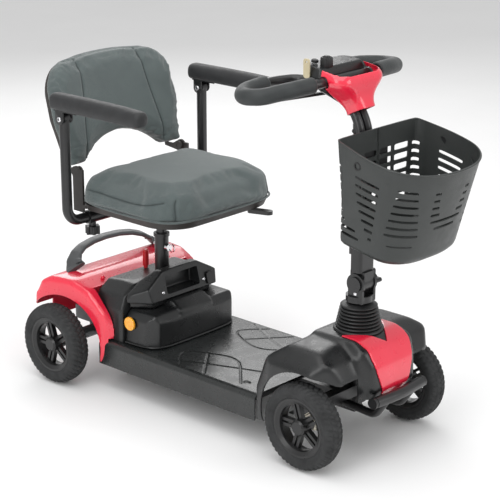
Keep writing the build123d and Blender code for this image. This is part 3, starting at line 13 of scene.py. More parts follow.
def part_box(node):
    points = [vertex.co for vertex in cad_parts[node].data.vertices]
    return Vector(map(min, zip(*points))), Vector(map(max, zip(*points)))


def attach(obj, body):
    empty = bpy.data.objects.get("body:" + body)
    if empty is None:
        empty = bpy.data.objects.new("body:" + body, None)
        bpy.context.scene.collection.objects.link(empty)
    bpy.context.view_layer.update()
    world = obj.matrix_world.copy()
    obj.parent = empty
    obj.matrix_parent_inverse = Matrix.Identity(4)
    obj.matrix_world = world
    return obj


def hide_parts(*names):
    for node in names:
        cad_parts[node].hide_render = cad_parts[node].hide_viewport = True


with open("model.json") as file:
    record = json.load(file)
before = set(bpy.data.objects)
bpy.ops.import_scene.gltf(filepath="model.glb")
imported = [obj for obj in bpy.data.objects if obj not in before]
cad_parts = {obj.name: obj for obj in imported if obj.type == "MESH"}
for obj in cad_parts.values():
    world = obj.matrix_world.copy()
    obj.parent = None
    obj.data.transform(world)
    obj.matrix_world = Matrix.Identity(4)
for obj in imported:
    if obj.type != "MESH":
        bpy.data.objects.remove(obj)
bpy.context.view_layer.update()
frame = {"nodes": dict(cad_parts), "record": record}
NODES = frame["nodes"]
SIDES = (("left", 1), ("right", -1))


# ---------------------------------------------------------------- places read from the frame
def middle(node):
    low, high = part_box(node)
    return (low + high) / 2


FRONT_Y = middle("front_tyre_left").y
REAR_Y = middle("rear_tyre_left").y
WHEEL_Z = middle("front_tyre_left").z
WALL = 0.003


# ---------------------------------------------------------------- materials
class Shader:
    """A small builder for node materials in object space."""

    def __init__(self, name):
        self.material = bpy.data.materials.new(name)
        self.material.use_nodes = True
        self.tree = self.material.node_tree
        self.bsdf = self.tree.nodes["Principled BSDF"]
        self.coords = self.add("ShaderNodeTexCoord").outputs["Object"]

    def link(self, source, target):
        self.tree.links.new(source, target)

    def add(self, kind, inputs=None, **settings):
        """A node whose inputs, by name or number, take values or links."""
        node = self.tree.nodes.new(kind)
        for key, value in settings.items():
            setattr(node, key, value)
        for key, value in (inputs or {}).items():
            if isinstance(value, bpy.types.NodeSocket):
                self.link(value, node.inputs[key])
            else:
                node.inputs[key].default_value = value
        return node

    def set(self, **values):
        for key, value in values.items():
            self.bsdf.inputs[key.replace("_", " ")].default_value = value

    def noise(self, scale, detail=3.0, roughness=0.55, distortion=0.0):
        inputs = {"Vector": self.coords, "Scale": scale, "Detail": detail, "Roughness": roughness,
                  "Distortion": distortion}
        return self.add("ShaderNodeTexNoise", inputs).outputs["Fac"]

    def voronoi(self, scale):
        return self.add("ShaderNodeTexVoronoi", {"Vector": self.coords, "Scale": scale}).outputs["Distance"]

    def wave(self, scale, axis, distortion, detail_scale):
        inputs = {"Vector": self.coords, "Scale": scale, "Distortion": distortion,
                  "Detail Scale": detail_scale}
        return self.add("ShaderNodeTexWave", inputs, wave_type="BANDS", bands_direction=axis).outputs["Fac"]

    def math(self, operation, a, b):
        return self.add("ShaderNodeMath", {0: a, 1: b}, operation=operation).outputs["Value"]

    def ramp(self, source, low, high, start=0.3, end=0.7):
        inputs = {"Value": source, "From Min": start, "From Max": end, "To Min": low, "To Max": high}
        return self.add("ShaderNodeMapRange", inputs).outputs["Result"]

    def colour(self, source, first, second, start=0.3, end=0.7):
        node = self.add("ShaderNodeValToRGB", {"Fac": source})
        for element, colour, position in zip(node.color_ramp.elements, (first, second), (start, end)):
            element.position, element.color = position, (*colour, 1)
        self.link(node.outputs["Color"], self.bsdf.inputs["Base Color"])

    def rough(self, source, low, high):
        self.link(self.ramp(source, low, high), self.bsdf.inputs["Roughness"])

    def bump(self, source, depth, strength=1.0, below=None):
        node = self.add("ShaderNodeBump", {"Strength": strength, "Distance": depth, "Height": source})
        if below is not None:
            self.link(below, node.inputs["Normal"])
        self.link(node.outputs["Normal"], self.bsdf.inputs["Normal"])
        return node.outputs["Normal"]


def plastic(name, dark, light, rough=(0.32, 0.5), grain=0.00006, grain_scale=1400, coat=0.0):
    """Moulded plastic: fine grain, faint cloudiness and a slightly uneven shine."""
    s = Shader(name)
    s.colour(s.noise(9, 4), dark, light)
    s.rough(s.noise(38, 5), *rough)
    s.bump(s.voronoi(grain_scale), grain)
    s.set(Coat_Weight=coat, Coat_Roughness=0.15)
    return s.material


def paint_metal(name, dark, light, rough=(0.28, 0.42)):
    """Powder coat: orange peel and small scuffs."""
    s = Shader(name)
    s.colour(s.noise(14, 5), dark, light)
    s.rough(s.noise(60, 6, 0.7), *rough)
    s.bump(s.noise(520, 2), 0.00012)
    s.set(Coat_Weight=0.25, Coat_Roughness=0.25)
    return s.material


def bare_metal(name, dark, light, rough=(0.18, 0.34)):
    """Plated or cast metal with fine scratches and an uneven shine."""
    s = Shader(name)
    s.colour(s.noise(30, 5), dark, light)
    s.rough(s.noise(120, 6, 0.7), *rough)
    s.bump(s.noise(900, 3), 0.00004)
    s.set(Metallic=1.0)
    return s.material


def gloss_red():
    """Automotive red over a pinkish base, under clear coat."""
    s = Shader("red_gloss")
    s.colour(s.noise(5, 3), (0.80, 0.010, 0.040), (0.87, 0.022, 0.062))
    s.rough(s.noise(45, 5), 0.24, 0.36)
    s.bump(s.noise(420, 2), 0.00002, 0.3)
    s.set(Coat_Weight=1.0, Coat_Roughness=0.06)
    return s.material


def seat_cloth():
    """Grey-green plain weave with soft cloudiness."""
    s = Shader("seat_fabric")
    warp = s.wave(420, "X", 0.6, 8)
    weft = s.wave(420, "Y", 0.6, 8)
    rise = s.wave(420, "Z", 0.6, 8)
    weave = s.math("ADD", s.math("MULTIPLY", warp, weft), s.math("MULTIPLY", rise, 0.5))
    cloud = s.noise(22, 8, 0.7, 0.4)
    mixed = s.math("ADD", s.math("MULTIPLY", cloud, 0.8), s.math("MULTIPLY", weave, 0.25))
    s.colour(mixed, (0.0508, 0.0694, 0.0694), (0.093, 0.1178, 0.1153), 0.3, 0.75)
    s.rough(cloud, 0.62, 0.8)
    coarse = s.bump(s.noise(90, 6, 0.7), 0.0005, 0.7)
    s.bump(weave, 0.00022, 0.8, coarse)
    s.set(Sheen_Weight=0.35, Sheen_Roughness=0.5)
    return s.material


def tyre_rubber():
    """Dull rubber with dusty patches and a fine grain."""
    s = Shader("tyre_rubber")
    s.colour(s.noise(26, 6, 0.65), (0.012, 0.0125, 0.013), (0.030, 0.031, 0.032))
    s.rough(s.noise(60, 5), 0.62, 0.85)
    s.bump(s.noise(700, 4, 0.7), 0.00015)
    return s.material


def foam(name, dark, light):
    """Closed-cell foam: tiny pores and a faint sheen."""
    s = Shader(name)
    s.colour(s.noise(40, 6), dark, light)
    s.rough(s.noise(80, 4), 0.5, 0.66)
    s.bump(s.voronoi(1900), 0.00012, 0.7)
    s.set(Sheen_Weight=0.1)
    return s.material


def amber():
    """Amber lens over a prism pattern."""
    s = Shader("amber_lens")
    s.colour(s.voronoi(260), (0.95, 0.30, 0.008), (1.0, 0.52, 0.03), 0.1, 0.9)
    s.rough(s.noise(50), 0.08, 0.16)
    s.bump(s.voronoi(420), 0.0004)
    s.set(Coat_Weight=1.0, Coat_Roughness=0.03)
    return s.material


BLACK = plastic("moulded_black", (0.007, 0.0075, 0.008), (0.013, 0.014, 0.0145), (0.24, 0.38), coat=0.1)
DECK = plastic("deck_black", (0.012, 0.0135, 0.0135), (0.022, 0.024, 0.024), (0.22, 0.34), 0.00008, 900, 0.2)
SEAT_SHELL = plastic("seat_shell_plastic", (0.0223, 0.0192, 0.0174), (0.0341, 0.0298, 0.0273), (0.45, 0.6))
CONTROL = plastic("control_plastic", (0.0062, 0.0062, 0.0068), (0.0124, 0.0124, 0.013), (0.34, 0.5))
BASKET = plastic("basket_plastic", (0.0253, 0.0286, 0.0275), (0.0352, 0.0391, 0.038), (0.34, 0.48),
                 0.00008, 1100)
WHEEL = plastic("wheel_plastic", (0.008, 0.008, 0.0085), (0.016, 0.016, 0.0165), (0.26, 0.38), coat=0.1)
HANDLE = plastic("handle_grey", (0.055, 0.058, 0.06), (0.09, 0.094, 0.097), (0.3, 0.42))
KEY = plastic("key_beige", (0.50, 0.43, 0.27), (0.68, 0.60, 0.42), (0.4, 0.55))
RED_GRIP = plastic("red_grip", (0.50, 0.008, 0.012), (0.66, 0.014, 0.02), (0.22, 0.34), coat=0.5)
CELLS = plastic("cell_plastic", (0.05, 0.055, 0.07), (0.08, 0.085, 0.1))
BOOT = plastic("boot_rubber", (0.008, 0.008, 0.0085), (0.016, 0.017, 0.017), (0.34, 0.5), 0.0001, 700)
FRAME_PAINT = paint_metal("frame_paint", (0.005, 0.005, 0.0055), (0.012, 0.012, 0.013))
MOTOR = paint_metal("motor_paint", (0.02, 0.02, 0.022), (0.045, 0.045, 0.05))
PLATED = bare_metal("plated_steel", (0.48, 0.43, 0.32), (0.66, 0.63, 0.55), (0.25, 0.42))
CAST = bare_metal("cast_alloy", (0.26, 0.26, 0.27), (0.40, 0.40, 0.41), (0.4, 0.6))
CHROME = bare_metal("chrome", (0.70, 0.70, 0.72), (0.82, 0.82, 0.84), (0.05, 0.14))
RED = gloss_red()
CLOTH = seat_cloth()
TYRE = tyre_rubber()
FOAM = foam("grip_foam", (0.0124, 0.0155, 0.0161), (0.0248, 0.0291, 0.0298))
SOFT = foam("armrest_skin", (0.008, 0.0085, 0.0095), (0.017, 0.018, 0.0195))
AMBER = amber()
SEAM = foam("seam_thread", (0.022, 0.032, 0.032), (0.040, 0.054, 0.054))

NODES_IN = {
    FRAME_PAINT: "steering_stem main_frame front_bumper seat_post seat_bracket swivel_lever tiller_column "
                 "handlebar",
    BLACK: "front_shroud rear_cover battery_case battery_hood console",
    RED: "front_panel rear_shroud head_cover",
    CONTROL: "socket_cover fold_knob throttle_lever speed_dial horn_button wiring_loom basket_bracket",
    SEAT_SHELL: "seat_shell backrest_shell", CLOTH: "seat_cushion backrest_cushion", FOAM: "grips",
    CAST: "transaxle controller", MOTOR: "drive_motor", PLATED: "stem_bearings", CHROME: "post_pin",
    DECK: "floor_deck", BOOT: "steering_boot", AMBER: "reflectors", HANDLE: "rear_handle",
    KEY: "ignition_key", RED_GRIP: "freewheel_lever", CELLS: "battery_cells", BASKET: "basket",
}
PAIRS_IN = {
    WHEEL: "front_rim rear_rim", TYRE: "front_tyre rear_tyre", PLATED: "steering_knuckle tie_rod",
    FRAME_PAINT: "arm_tube", SOFT: "armrest", CONTROL: "arm_knob",
}


def finish_nodes():
    """Give each CAD node its material."""
    rows = [(name, material) for material, names in NODES_IN.items() for name in names.split()]
    rows += [(f"{name}_{side}", material) for material, names in PAIRS_IN.items() for name in names.split()
             for side, _ in SIDES]
    for name, material in rows:
        mesh = NODES[name].data
        mesh.materials.clear()
        mesh.materials.append(material)


finish_nodes()


# ---------------------------------------------------------------- mesh tools
BODY_OF = {node: body for body, nodes in frame["record"]["behaviour"]["bodies"].items() for node in nodes}


def add_object(name, mesh, material, smooth_angle=35):
    """Put a mesh in the scene as a piece, shaded smooth except at sharp edges."""
    piece = bpy.data.objects.new(name, mesh)
    bpy.context.scene.collection.objects.link(piece)
    mesh.materials.clear()
    mesh.materials.append(material)
    mesh.shade_smooth()
    if smooth_angle is not None:
        mesh.set_sharp_from_angle(angle=math.radians(smooth_angle))
    return piece


def stand_for(piece, *nodes):
    """Let a piece replace CAD nodes of one body, and ride on that body."""
    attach(piece, BODY_OF[nodes[0]])
    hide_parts(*nodes)
    return piece


def detail(piece, node):
    """Let a small piece ride with a node's body."""
    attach(piece, BODY_OF[node])
    return piece


def passing_object(data):
    """An object that is in the scene only while its mesh or curve is worked on."""
    passing = bpy.data.objects.new("passing", data)
    bpy.context.scene.collection.objects.link(passing)
    return passing


def evaluated(passing):
    """The mesh that an object's modifiers or bevel make."""
    graph = bpy.context.evaluated_depsgraph_get()
    return bpy.data.meshes.new_from_object(passing.evaluated_get(graph))


def mesh_from(name, build):
    """Make a mesh by filling a fresh bmesh."""
    bm = bmesh.new()
    build(bm)
    bmesh.ops.recalc_face_normals(bm, faces=bm.faces)
    mesh = bpy.data.meshes.new(name)
    bm.to_mesh(mesh)
    bm.free()
    return mesh


def modified(mesh, *settings):
    """Apply modifiers, given as (kind, values), to a mesh through a passing object."""
    passing = passing_object(mesh)
    for kind, values in settings:
        modifier = passing.modifiers.new(kind, kind)
        for key, value in values.items():
            setattr(modifier, key, value)
    result = evaluated(passing)
    bpy.data.objects.remove(passing)
    return result


def cut_out(mesh, *cutters):
    """A mesh less several closed cutter meshes, taken away in turn."""
    blocks = [passing_object(cutter) for cutter in cutters]
    away = {"operation": "DIFFERENCE", "solver": "EXACT"}
    result = modified(mesh, *[("BOOLEAN", {"object": block, **away}) for block in blocks])
    for block in blocks:
        bpy.data.objects.remove(block)
    return result


def smoothing(rounds, factor=0.5):
    return "SMOOTH", {"factor": factor, "iterations": rounds}


def walled(mesh, thickness=WALL):
    """A skin given its wall thickness inward."""
    return modified(mesh, ("SOLIDIFY", {"thickness": thickness, "offset": -1}))


def remeshed(mesh, voxel, rounds, factor=0.5):
    """Voxel remesh a closed form, or the union of several, and soften it."""
    return modified(mesh, ("REMESH", {"mode": "VOXEL", "voxel_size": voxel}), smoothing(rounds, factor))


def convex(bm, low, high, planes):
    """A box cut down by planes, each a point and an outward direction."""
    part = bmesh.new()
    bmesh.ops.create_cube(part, size=1)
    size, centre = Vector(high) - Vector(low), (Vector(high) + Vector(low)) / 2
    for vert in part.verts:
        vert.co = Vector(a * b + c for a, b, c in zip(vert.co, size, centre))
    for point, away in planes:
        geometry = part.verts[:] + part.edges[:] + part.faces[:]
        cut = bmesh.ops.bisect_plane(part, geom=geometry, plane_co=point, plane_no=away, clear_outer=True)
        edges = [item for item in cut["geom_cut"] if isinstance(item, bmesh.types.BMEdge)]
        if edges:
            bmesh.ops.contextual_create(part, geom=edges)
    bmesh.ops.recalc_face_normals(part, faces=part.faces)
    passing = bpy.data.meshes.new("convex")
    part.to_mesh(passing)
    part.free()
    bm.from_mesh(passing)
    bpy.data.meshes.remove(passing)


def side_planes(points, axes):
    """Outward planes along a convex outline drawn anticlockwise on two of the three axes."""
    planes = []
    for (a0, b0), (a1, b1) in zip(points, points[1:] + points[:1]):
        point, away = Vector((0, 0, 0)), Vector((0, 0, 0))
        point[axes[0]], point[axes[1]] = a0, b0
        away[axes[0]], away[axes[1]] = b1 - b0, a0 - a1
        planes.append((point, away.normalized()))
    return planes


def three_way(side=(), across=(), plan=()):
    """Outward planes of outlines drawn from the side (Y, Z), from the front (X, Z) and from above (X, Y)."""
    return side_planes(side, (1, 2)) + side_planes(across, (0, 2)) + side_planes(plan, (0, 1))


def both_ways(points):
    """A symmetrical outline from its +X half, which runs anticlockwise."""
    return points + [(-x, other) for x, other in reversed(points)]


def skin(bm, rows, closed=True):
    """Quads between neighbouring rows of vertices, whose ends meet where the rows are closed."""
    for first, second in zip(rows, rows[1:]):
        for i in range(len(first) if closed else len(first) - 1):
            j = (i + 1) % len(first)
            bm.faces.new((first[i], first[j], second[j], second[i]))


def loft(rings):
    """A closed surface through rings of equal length, capped at both ends."""

    def build(bm):
        rows = [[bm.verts.new(p) for p in ring] for ring in rings]
        skin(bm, rows)
        bm.faces.new(rows[0][::-1])
        bm.faces.new(rows[-1])

    return build


def turns(count):
    """Evenly spaced angles round a circle."""
    return [math.tau * i / count for i in range(count)]


def lathe(profile, centre, axis, count):
    """A profile of (radius, distance along axis) turned about an axis through centre."""
    centre, axis = Vector(centre), Vector(axis).normalized()
    side = axis.orthogonal().normalized()
    across = axis.cross(side)
    rings = []
    for radius, along in profile:
        spokes = [side * math.cos(t) + across * math.sin(t) for t in turns(count)]
        rings.append([centre + axis * along + spoke * radius for spoke in spokes])
    return loft(rings)


def tube(name, points, radius, material, cyclic=False, resolution=8):
    """A round line through points, as a mesh."""
    curve = bpy.data.curves.new(name, "CURVE")
    curve.dimensions = "3D"
    curve.bevel_depth, curve.bevel_resolution, curve.resolution_u = radius, 3, resolution
    curve.use_fill_caps = True
    spline = curve.splines.new("NURBS")
    spline.points.add(len(points) - 1)
    for place, point in zip(spline.points, points):
        place.co = (*point, 1)
    spline.order_u = 3
    spline.use_endpoint_u = True
    spline.use_cyclic_u = cyclic
    passing = passing_object(curve)
    mesh = evaluated(passing)
    bpy.data.objects.remove(passing)
    return add_object(name, mesh, material, None)


def screw(name, place, away, radius, node, material=None):
    """A domed screw head with a round socket."""
    r = radius
    profile = [(r, -0.002), (r, r * 0.15), (r * 0.85, r * 0.5), (r * 0.5, r * 0.62), (r * 0.42, r * 0.6),
               (r * 0.38, r * 0.2)]
    mesh = mesh_from(name, lathe(profile, place, away, 18))
    return detail(add_object(name, mesh, material or CHROME, 50), node)


def soft_copy(node, name, material, voxel, rounds):
    """A node's own form with moulded, rounded edges."""
    mesh = remeshed(NODES[node].data.copy(), voxel, rounds)
    return stand_for(add_object(name, mesh, material, None), node)


def trimmed(mesh, outside, snap):
    """Cut away the faces whose middle is outside, and pull the new edge onto its line with snap."""
    bm = bmesh.new()
    bm.from_mesh(mesh)
    gone = [face for face in bm.faces if outside(face.calc_center_median())]
    bmesh.ops.delete(bm, geom=gone, context="FACES")
    for _ in range(2):
        spikes = [f for f in bm.faces if sum(e.is_boundary for e in f.edges) >= 3]
        bmesh.ops.delete(bm, geom=spikes, context="FACES")
    for vert in bm.verts:
        if vert.is_boundary:
            vert.co = snap(vert.co.copy())
    bm.to_mesh(mesh)
    bm.free()
    return mesh


# ---------------------------------------------------------------- moulded body panels
FRONT_ARCH, REAR_ARCH = 0.126, 0.118


def at(origin, pairs):
    """Outline points whose first value counts from an axle line."""
    return [(origin + a, b) for a, b in pairs]


def ring_distance(point, axle_y):
    return math.hypot(point.y - axle_y, point.z - WHEEL_Z)


def to_arch(point, axle_y, radius):
    """The nearest place on a wheel arch's edge."""
    away = Vector((0, point.y - axle_y, point.z - WHEEL_Z))
    away.length = radius
    return Vector((point.x, axle_y + away.y, WHEEL_Z + away.z))


def front_form():
    """The closed, softened form that the front shroud and its red panel share."""

    def build(bm):
        side = at(FRONT_Y, [(-0.080, 0.120), (0.1525, 0.060), (0.1525, 0.150), (0.104, 0.242), (0.060, 0.272),
                            (-0.020, 0.269), (-0.062, 0.246), (-0.080, 0.205)])
        across = both_ways([(0.180, 0.060), (0.2015, 0.160), (0.2015, 0.232), (0.160, 0.266), (0.070, 0.276)])
        plan = [(0.175, FRONT_Y + 0.153), (-0.175, FRONT_Y + 0.153), (-0.2015, FRONT_Y + 0.090),
                (-0.2015, FRONT_Y - 0.030), (-0.150, FRONT_Y - 0.081), (0.150, FRONT_Y - 0.081),
                (0.2015, FRONT_Y - 0.030), (0.2015, FRONT_Y + 0.090)]
        convex(bm, (-0.21, FRONT_Y - 0.09, 0.05), (0.21, FRONT_Y + 0.16, 0.28), three_way(side, across, plan))
        side = at(FRONT_Y, [(-0.088, 0.140), (0.070, 0.140), (0.070, 0.279), (-0.052, 0.279), (-0.084, 0.263),
                            (-0.102, 0.225), (-0.107, 0.172)])
        across = both_ways([(0.060, 0.138), (0.092, 0.190), (0.097, 0.240), (0.080, 0.281)])
        plan = [(0.097, FRONT_Y + 0.075), (-0.097, FRONT_Y + 0.075), (-0.097, FRONT_Y - 0.070),
                (-0.070, FRONT_Y - 0.108), (0.070, FRONT_Y - 0.108), (0.097, FRONT_Y - 0.070)]
        convex(bm, (-0.11, FRONT_Y - 0.12, 0.13), (0.11, FRONT_Y + 0.08, 0.29), three_way(side, across, plan))

    return remeshed(mesh_from("front_form", build), 0.0034, 70)


def front_shroud():
    """The fenders and nose: one moulded skin with open wheel arches."""
    sill_z, floor_z, open_z = 0.070, 0.150, 0.206

    def in_arch(p):
        return abs(p.x) > 0.104 and ring_distance(p, FRONT_Y) < FRONT_ARCH

    def outside(p):
        open_front = abs(p.x) > 0.098 and p.y < FRONT_Y - 0.02 and p.z < open_z
        under = p.z < (sill_z if p.y > FRONT_Y + 0.05 else floor_z)
        behind = p.y > FRONT_Y + 0.146 and abs(p.x) < 0.165
        return in_arch(p) or open_front or under or behind

    def snap(p):
        if abs(p.x) > 0.112 and abs(ring_distance(p, FRONT_Y) - FRONT_ARCH) < 0.006:
            return to_arch(p, FRONT_Y, FRONT_ARCH)
        for level in (open_z, floor_z, sill_z):
            if abs(p.z - level) < 0.004:
                p.z = level
        return p

    mesh = walled(trimmed(front_form(), outside, snap))
    stand_for(add_object("front_shroud_skin", mesh, BLACK, 50), "front_shroud")


def front_panel():
    """The red V over the nose: two horns beside the boot, narrowing to the bumper."""
    levels = [(0.146, 0.034), (0.180, 0.050), (0.215, 0.062), (0.250, 0.070), (0.300, 0.073)]
    notch_y, notch_slope, low_z, near = FRONT_Y - 0.079, 1.05, 0.152, 0.0042

    def half_width(z):
        for (z0, w0), (z1, w1) in zip(levels, levels[1:]):
            if z <= z1:
                return w0 + (w1 - w0) * max(0.0, (z - z0) / (z1 - z0))
        return levels[-1][1]

    def outside(p):
        return abs(p.x) > half_width(p.z) or p.y > notch_y + abs(p.x) * notch_slope or p.z < low_z

    def snap(p):
        width = half_width(p.z)
        if abs(abs(p.x) - width) < near:
            p.x = math.copysign(width, p.x)
        if abs(p.y - notch_y - abs(p.x) * notch_slope) < near:
            p.y = notch_y + abs(p.x) * notch_slope
        if p.z < low_z + 0.004:
            p.z = low_z
        return p

    mesh = trimmed(front_form(), outside, snap)
    bm = bmesh.new()
    bm.from_mesh(mesh)
    for vert in bm.verts:
        vert.co += vert.normal * 0.0030
    bm.to_mesh(mesh)
    bm.free()
    mesh = modified(
        mesh,
        smoothing(4),
        ("SOLIDIFY", {"thickness": 0.0028, "offset": -1}),
        ("BEVEL", {"width": 0.0008, "segments": 2, "angle_limit": math.radians(50)}),
    )
    stand_for(add_object("front_panel_skin", mesh, RED, 60), "front_panel")


def rear_shroud():
    """The red rear fenders and tail, wrapped round the black cover."""
    cover_x, cover_y, sill_z = 0.161, REAR_Y - 0.0785, 0.064

    def build(bm):
        side = at(REAR_Y, [(-0.118, 0.058), (0.086, 0.058), (0.090, 0.160), (0.086, 0.208), (0.066, 0.246),
                           (0.030, 0.266), (-0.030, 0.264), (-0.084, 0.245), (-0.130, 0.196),
                           (-0.160, 0.150)])
        across = both_ways([(0.174, 0.058), (0.247, 0.172), (0.247, 0.222), (0.205, 0.261), (0.090, 0.269)])
        plan = [(0.214, REAR_Y + 0.090), (-0.214, REAR_Y + 0.090), (-0.247, REAR_Y + 0.050),
                (-0.247, REAR_Y - 0.060), (-0.178, REAR_Y - 0.130), (-0.172, REAR_Y - 0.168),
                (0.172, REAR_Y - 0.168), (0.178, REAR_Y - 0.130), (0.247, REAR_Y - 0.060),
                (0.247, REAR_Y + 0.050)]
        convex(bm, (-0.26, REAR_Y - 0.18, 0.05), (0.26, REAR_Y + 0.1, 0.28), three_way(side, across, plan))

    def outside(p):
        arch = abs(p.x) > 0.150 and ring_distance(p, REAR_Y) < REAR_ARCH
        under = p.z < (sill_z if p.y < REAR_Y else 0.112)
        cover = abs(p.x) < cover_x and p.y < cover_y
        middle = abs(p.x) < 0.170 and p.z < 0.130
        return arch or under or cover or middle

    def snap(p):
        if abs(p.x) > 0.152 and abs(ring_distance(p, REAR_Y) - REAR_ARCH) < 0.006:
            return to_arch(p, REAR_Y, REAR_ARCH)
        if p.z < sill_z + 0.005:
            p.z = sill_z
        if abs(p.x) < cover_x + 0.002 and abs(p.y - cover_y) < 0.005:
            p.y = cover_y
        if abs(abs(p.x) - cover_x) < 0.005 and p.y < REAR_Y - 0.076:
            p.x = math.copysign(cover_x, p.x)
        return p

    mesh = walled(trimmed(remeshed(mesh_from("rear_form", build), 0.0034, 60), outside, snap))
    stand_for(add_object("rear_shroud_skin", mesh, RED, 50), "rear_shroud")
    for side, out in SIDES:
        foot = Vector((out * 0.112, REAR_Y - 0.060, 0.2575))
        screw(f"rear_shroud_screw_{side}", foot, (0, -0.25, 1), 0.0055, "rear_shroud", RED)


def rear_cover():
    """The black cover between the battery pack and the red tail."""
    low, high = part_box("rear_cover")

    def build(bm):
        side = [(low.y, 0.120), (high.y, 0.120), (high.y, 0.262), (low.y, 0.269)]
        across = both_ways([(0.1592, 0.120), (0.1592, 0.205), (0.146, 0.240), (0.108, 0.265), (0.060, 0.270)])
        convex(bm, (low.x, low.y, 0.11), (high.x, high.y, 0.275), three_way(side, across))

    mesh = remeshed(mesh_from("rear_cover_form", build), 0.003, 24)
    stand_for(add_object("rear_cover_skin", mesh, BLACK, None), "rear_cover")


def battery_case():
    """The lower half of the battery pack: a foot flange, rounded corners and a raised centre panel."""
    low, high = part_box("battery_case")

    def build(bm):
        side = [(low.y, low.z), (high.y, low.z), (high.y, high.z), (low.y + 0.016, high.z),
                (low.y + 0.002, 0.190)]
        across = both_ways([(0.1495, low.z), (0.146, 0.194), (0.130, high.z)])
        plan = [(0.150, high.y), (-0.150, high.y), (-0.148, low.y + 0.034), (-0.126, low.y + 0.004),
                (-0.06, low.y), (0.06, low.y), (0.126, low.y + 0.004), (0.148, low.y + 0.034)]
        convex(bm, low, high, three_way(side, across, plan))
        proud_y, panel_top = low.y - 0.0005, 0.2255
        raised = [(-0.055, proud_y), (0.055, proud_y), (0.062, high.y), (-0.062, high.y)]
        side = [(proud_y, low.z + 0.004), (high.y, low.z + 0.004), (high.y, panel_top),
                (low.y + 0.035, panel_top), (low.y + 0.004, 0.206)]
        planes = three_way(side, plan=raised)
        convex(bm, (-0.06, low.y - 0.002, low.z), (0.06, low.y + 0.060, 0.228), planes)

    mesh = remeshed(mesh_from("battery_case_form", build), 0.0024, 26)
    stand_for(add_object("battery_case_skin", mesh, BLACK, None), "battery_case")
    half = [(0.060, low.y - 0.003), (0.128, low.y + 0.002), (0.150, low.y + 0.040), (0.151, high.y - 0.004)]
    flange = [(-x, y) for x, y in half[::-1]] + half
    rim = tube("battery_case_flange", [(x, y, low.z + 0.004) for x, y in flange], 0.0028, BLACK)
    detail(rim, "battery_case")


def battery_hood():
    """The upper half, with the carrying bar, its finger gap and the charging socket's leg."""
    low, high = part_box("battery_hood")
    slope = math.radians(14.4)
    lean = (0, -math.cos(slope), math.sin(slope))
    foot_z, fixing_z = 0.227, 0.246
    fixing_y = low.y + (fixing_z - foot_z) * math.tan(slope)

    def build(bm):
        side = [(low.y, foot_z), (high.y, foot_z), (high.y, 0.272), (low.y + 0.042, 0.294),
                (low.y + 0.018, high.z)]
        across = both_ways([(0.150, foot_z), (0.138, 0.251), (0.104, 0.270), (0.064, 0.2945),
                            (0.030, high.z)])
        plan = [(0.150, high.y), (-0.150, high.y), (-0.110, low.y), (0.110, low.y)]
        convex(bm, low, high, three_way(side, across, plan))
        neck = [(-0.134, high.y), (-0.098, low.y + 0.012), (0.098, low.y + 0.012), (0.134, high.y)]
        convex(bm, (-0.135, low.y, low.z + 0.0005), (0.135, high.y, 0.232), three_way(plan=neck))

    def gap(bm):
        convex(bm, (-0.056, low.y - 0.01, 0.2385), (0.056, low.y + 0.0405, 0.2825), [])

    body = remeshed(mesh_from("battery_hood_form", build), 0.002, 12)
    finger_gap = remeshed(mesh_from("gap", gap), 0.003, 8)
    bore = lathe([(0.0079, -0.0155), (0.0079, 0.01)], (0.092, fixing_y, fixing_z), lean, 40)
    mesh = cut_out(body, finger_gap, mesh_from("socket", bore))
    stand_for(add_object("battery_hood_skin", mesh, BLACK, 40), "battery_hood")
    for side, out in SIDES:
        place = (out * 0.070, fixing_y, fixing_z)
        screw(f"battery_hood_screw_{side}", place, lean, 0.0045, "battery_hood")


front_shroud()
front_panel()
rear_shroud()
rear_cover()
battery_case()
battery_hood()


# ---------------------------------------------------------------- wheels
def ring_piece(name, profile, centre, count, material):
    """A closed profile of (radius, x) turned about a wheel's axle, with a height added by a pattern."""
    rings = []
    for turn in turns(count):
        ring = []
        for radius, x, tread in profile:
            radius += tread * tread_height(turn, x)
            y, z = centre.y + radius * math.cos(turn), centre.z + radius * math.sin(turn)
            ring.append((centre.x + x, y, z))
        rings.append(ring)

    def build(bm):
        rows = [[bm.verts.new(p) for p in ring] for ring in rings]
        skin(bm, rows + rows[:1])

    return add_object(name, mesh_from(name, build), material, 40)


def tread_height(turn, x):
    """Zigzag lugs: slanted bars on each half of the tread, offset across a wavy centre groove."""
    pitch, depth = 46, 0.0022
    swing = abs(x) / 0.026
    phase = (turn * pitch / math.tau + (0.5 if x > 0 else 0.0) + swing * 0.9) % 1.0
    lug = min(1.0, max(0.0, (0.5 - abs(phase - 0.5) - 0.12) * 9))
    wave = 0.0016 * math.sin(turn * pitch)
    centre_groove = min(1.0, max(0.0, (abs(x - wave) - 0.0012) * 900))
    shoulder = min(1.0, max(0.0, (abs(abs(x) - 0.0135) - 0.0006) * 1400))
    return (lug * centre_groove * shoulder - 1.0) * depth


def tyre(node):
    """A solid tyre with zigzag tread, a bead line and a plain side wall."""
    low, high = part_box(node)
    centre = (low + high) / 2
    outer, half = (high.z - low.z) / 2, (high.x - low.x) / 2
    bead = 0.0688
    profile = []
    for k in range(33):
        share = -1 + 2 * k / 32
        x = half * 0.86 * share
        profile.append((outer - 0.0065 * abs(share) ** 2.6, x, 1.0))
    for sign in (1, -1):
        wall = [(outer - 0.0095, 0.93, 0.7), (outer - 0.014, 0.985, 0.0), (outer - 0.019, 1.0, 0.0),
                (bead + 0.010, 0.96, 0.0), (bead + 0.0075, 0.925, 0.0), (bead + 0.005, 0.93, 0.0),
                (bead + 0.0015, 0.86, 0.0), (bead, 0.80, 0.0)]
        wall = [(radius, sign * half * share, tread) for radius, share, tread in wall]
        profile += wall if sign > 0 else wall[::-1]
    stand_for(ring_piece(f"{node}_tread", profile, centre, 460, TYRE), node)


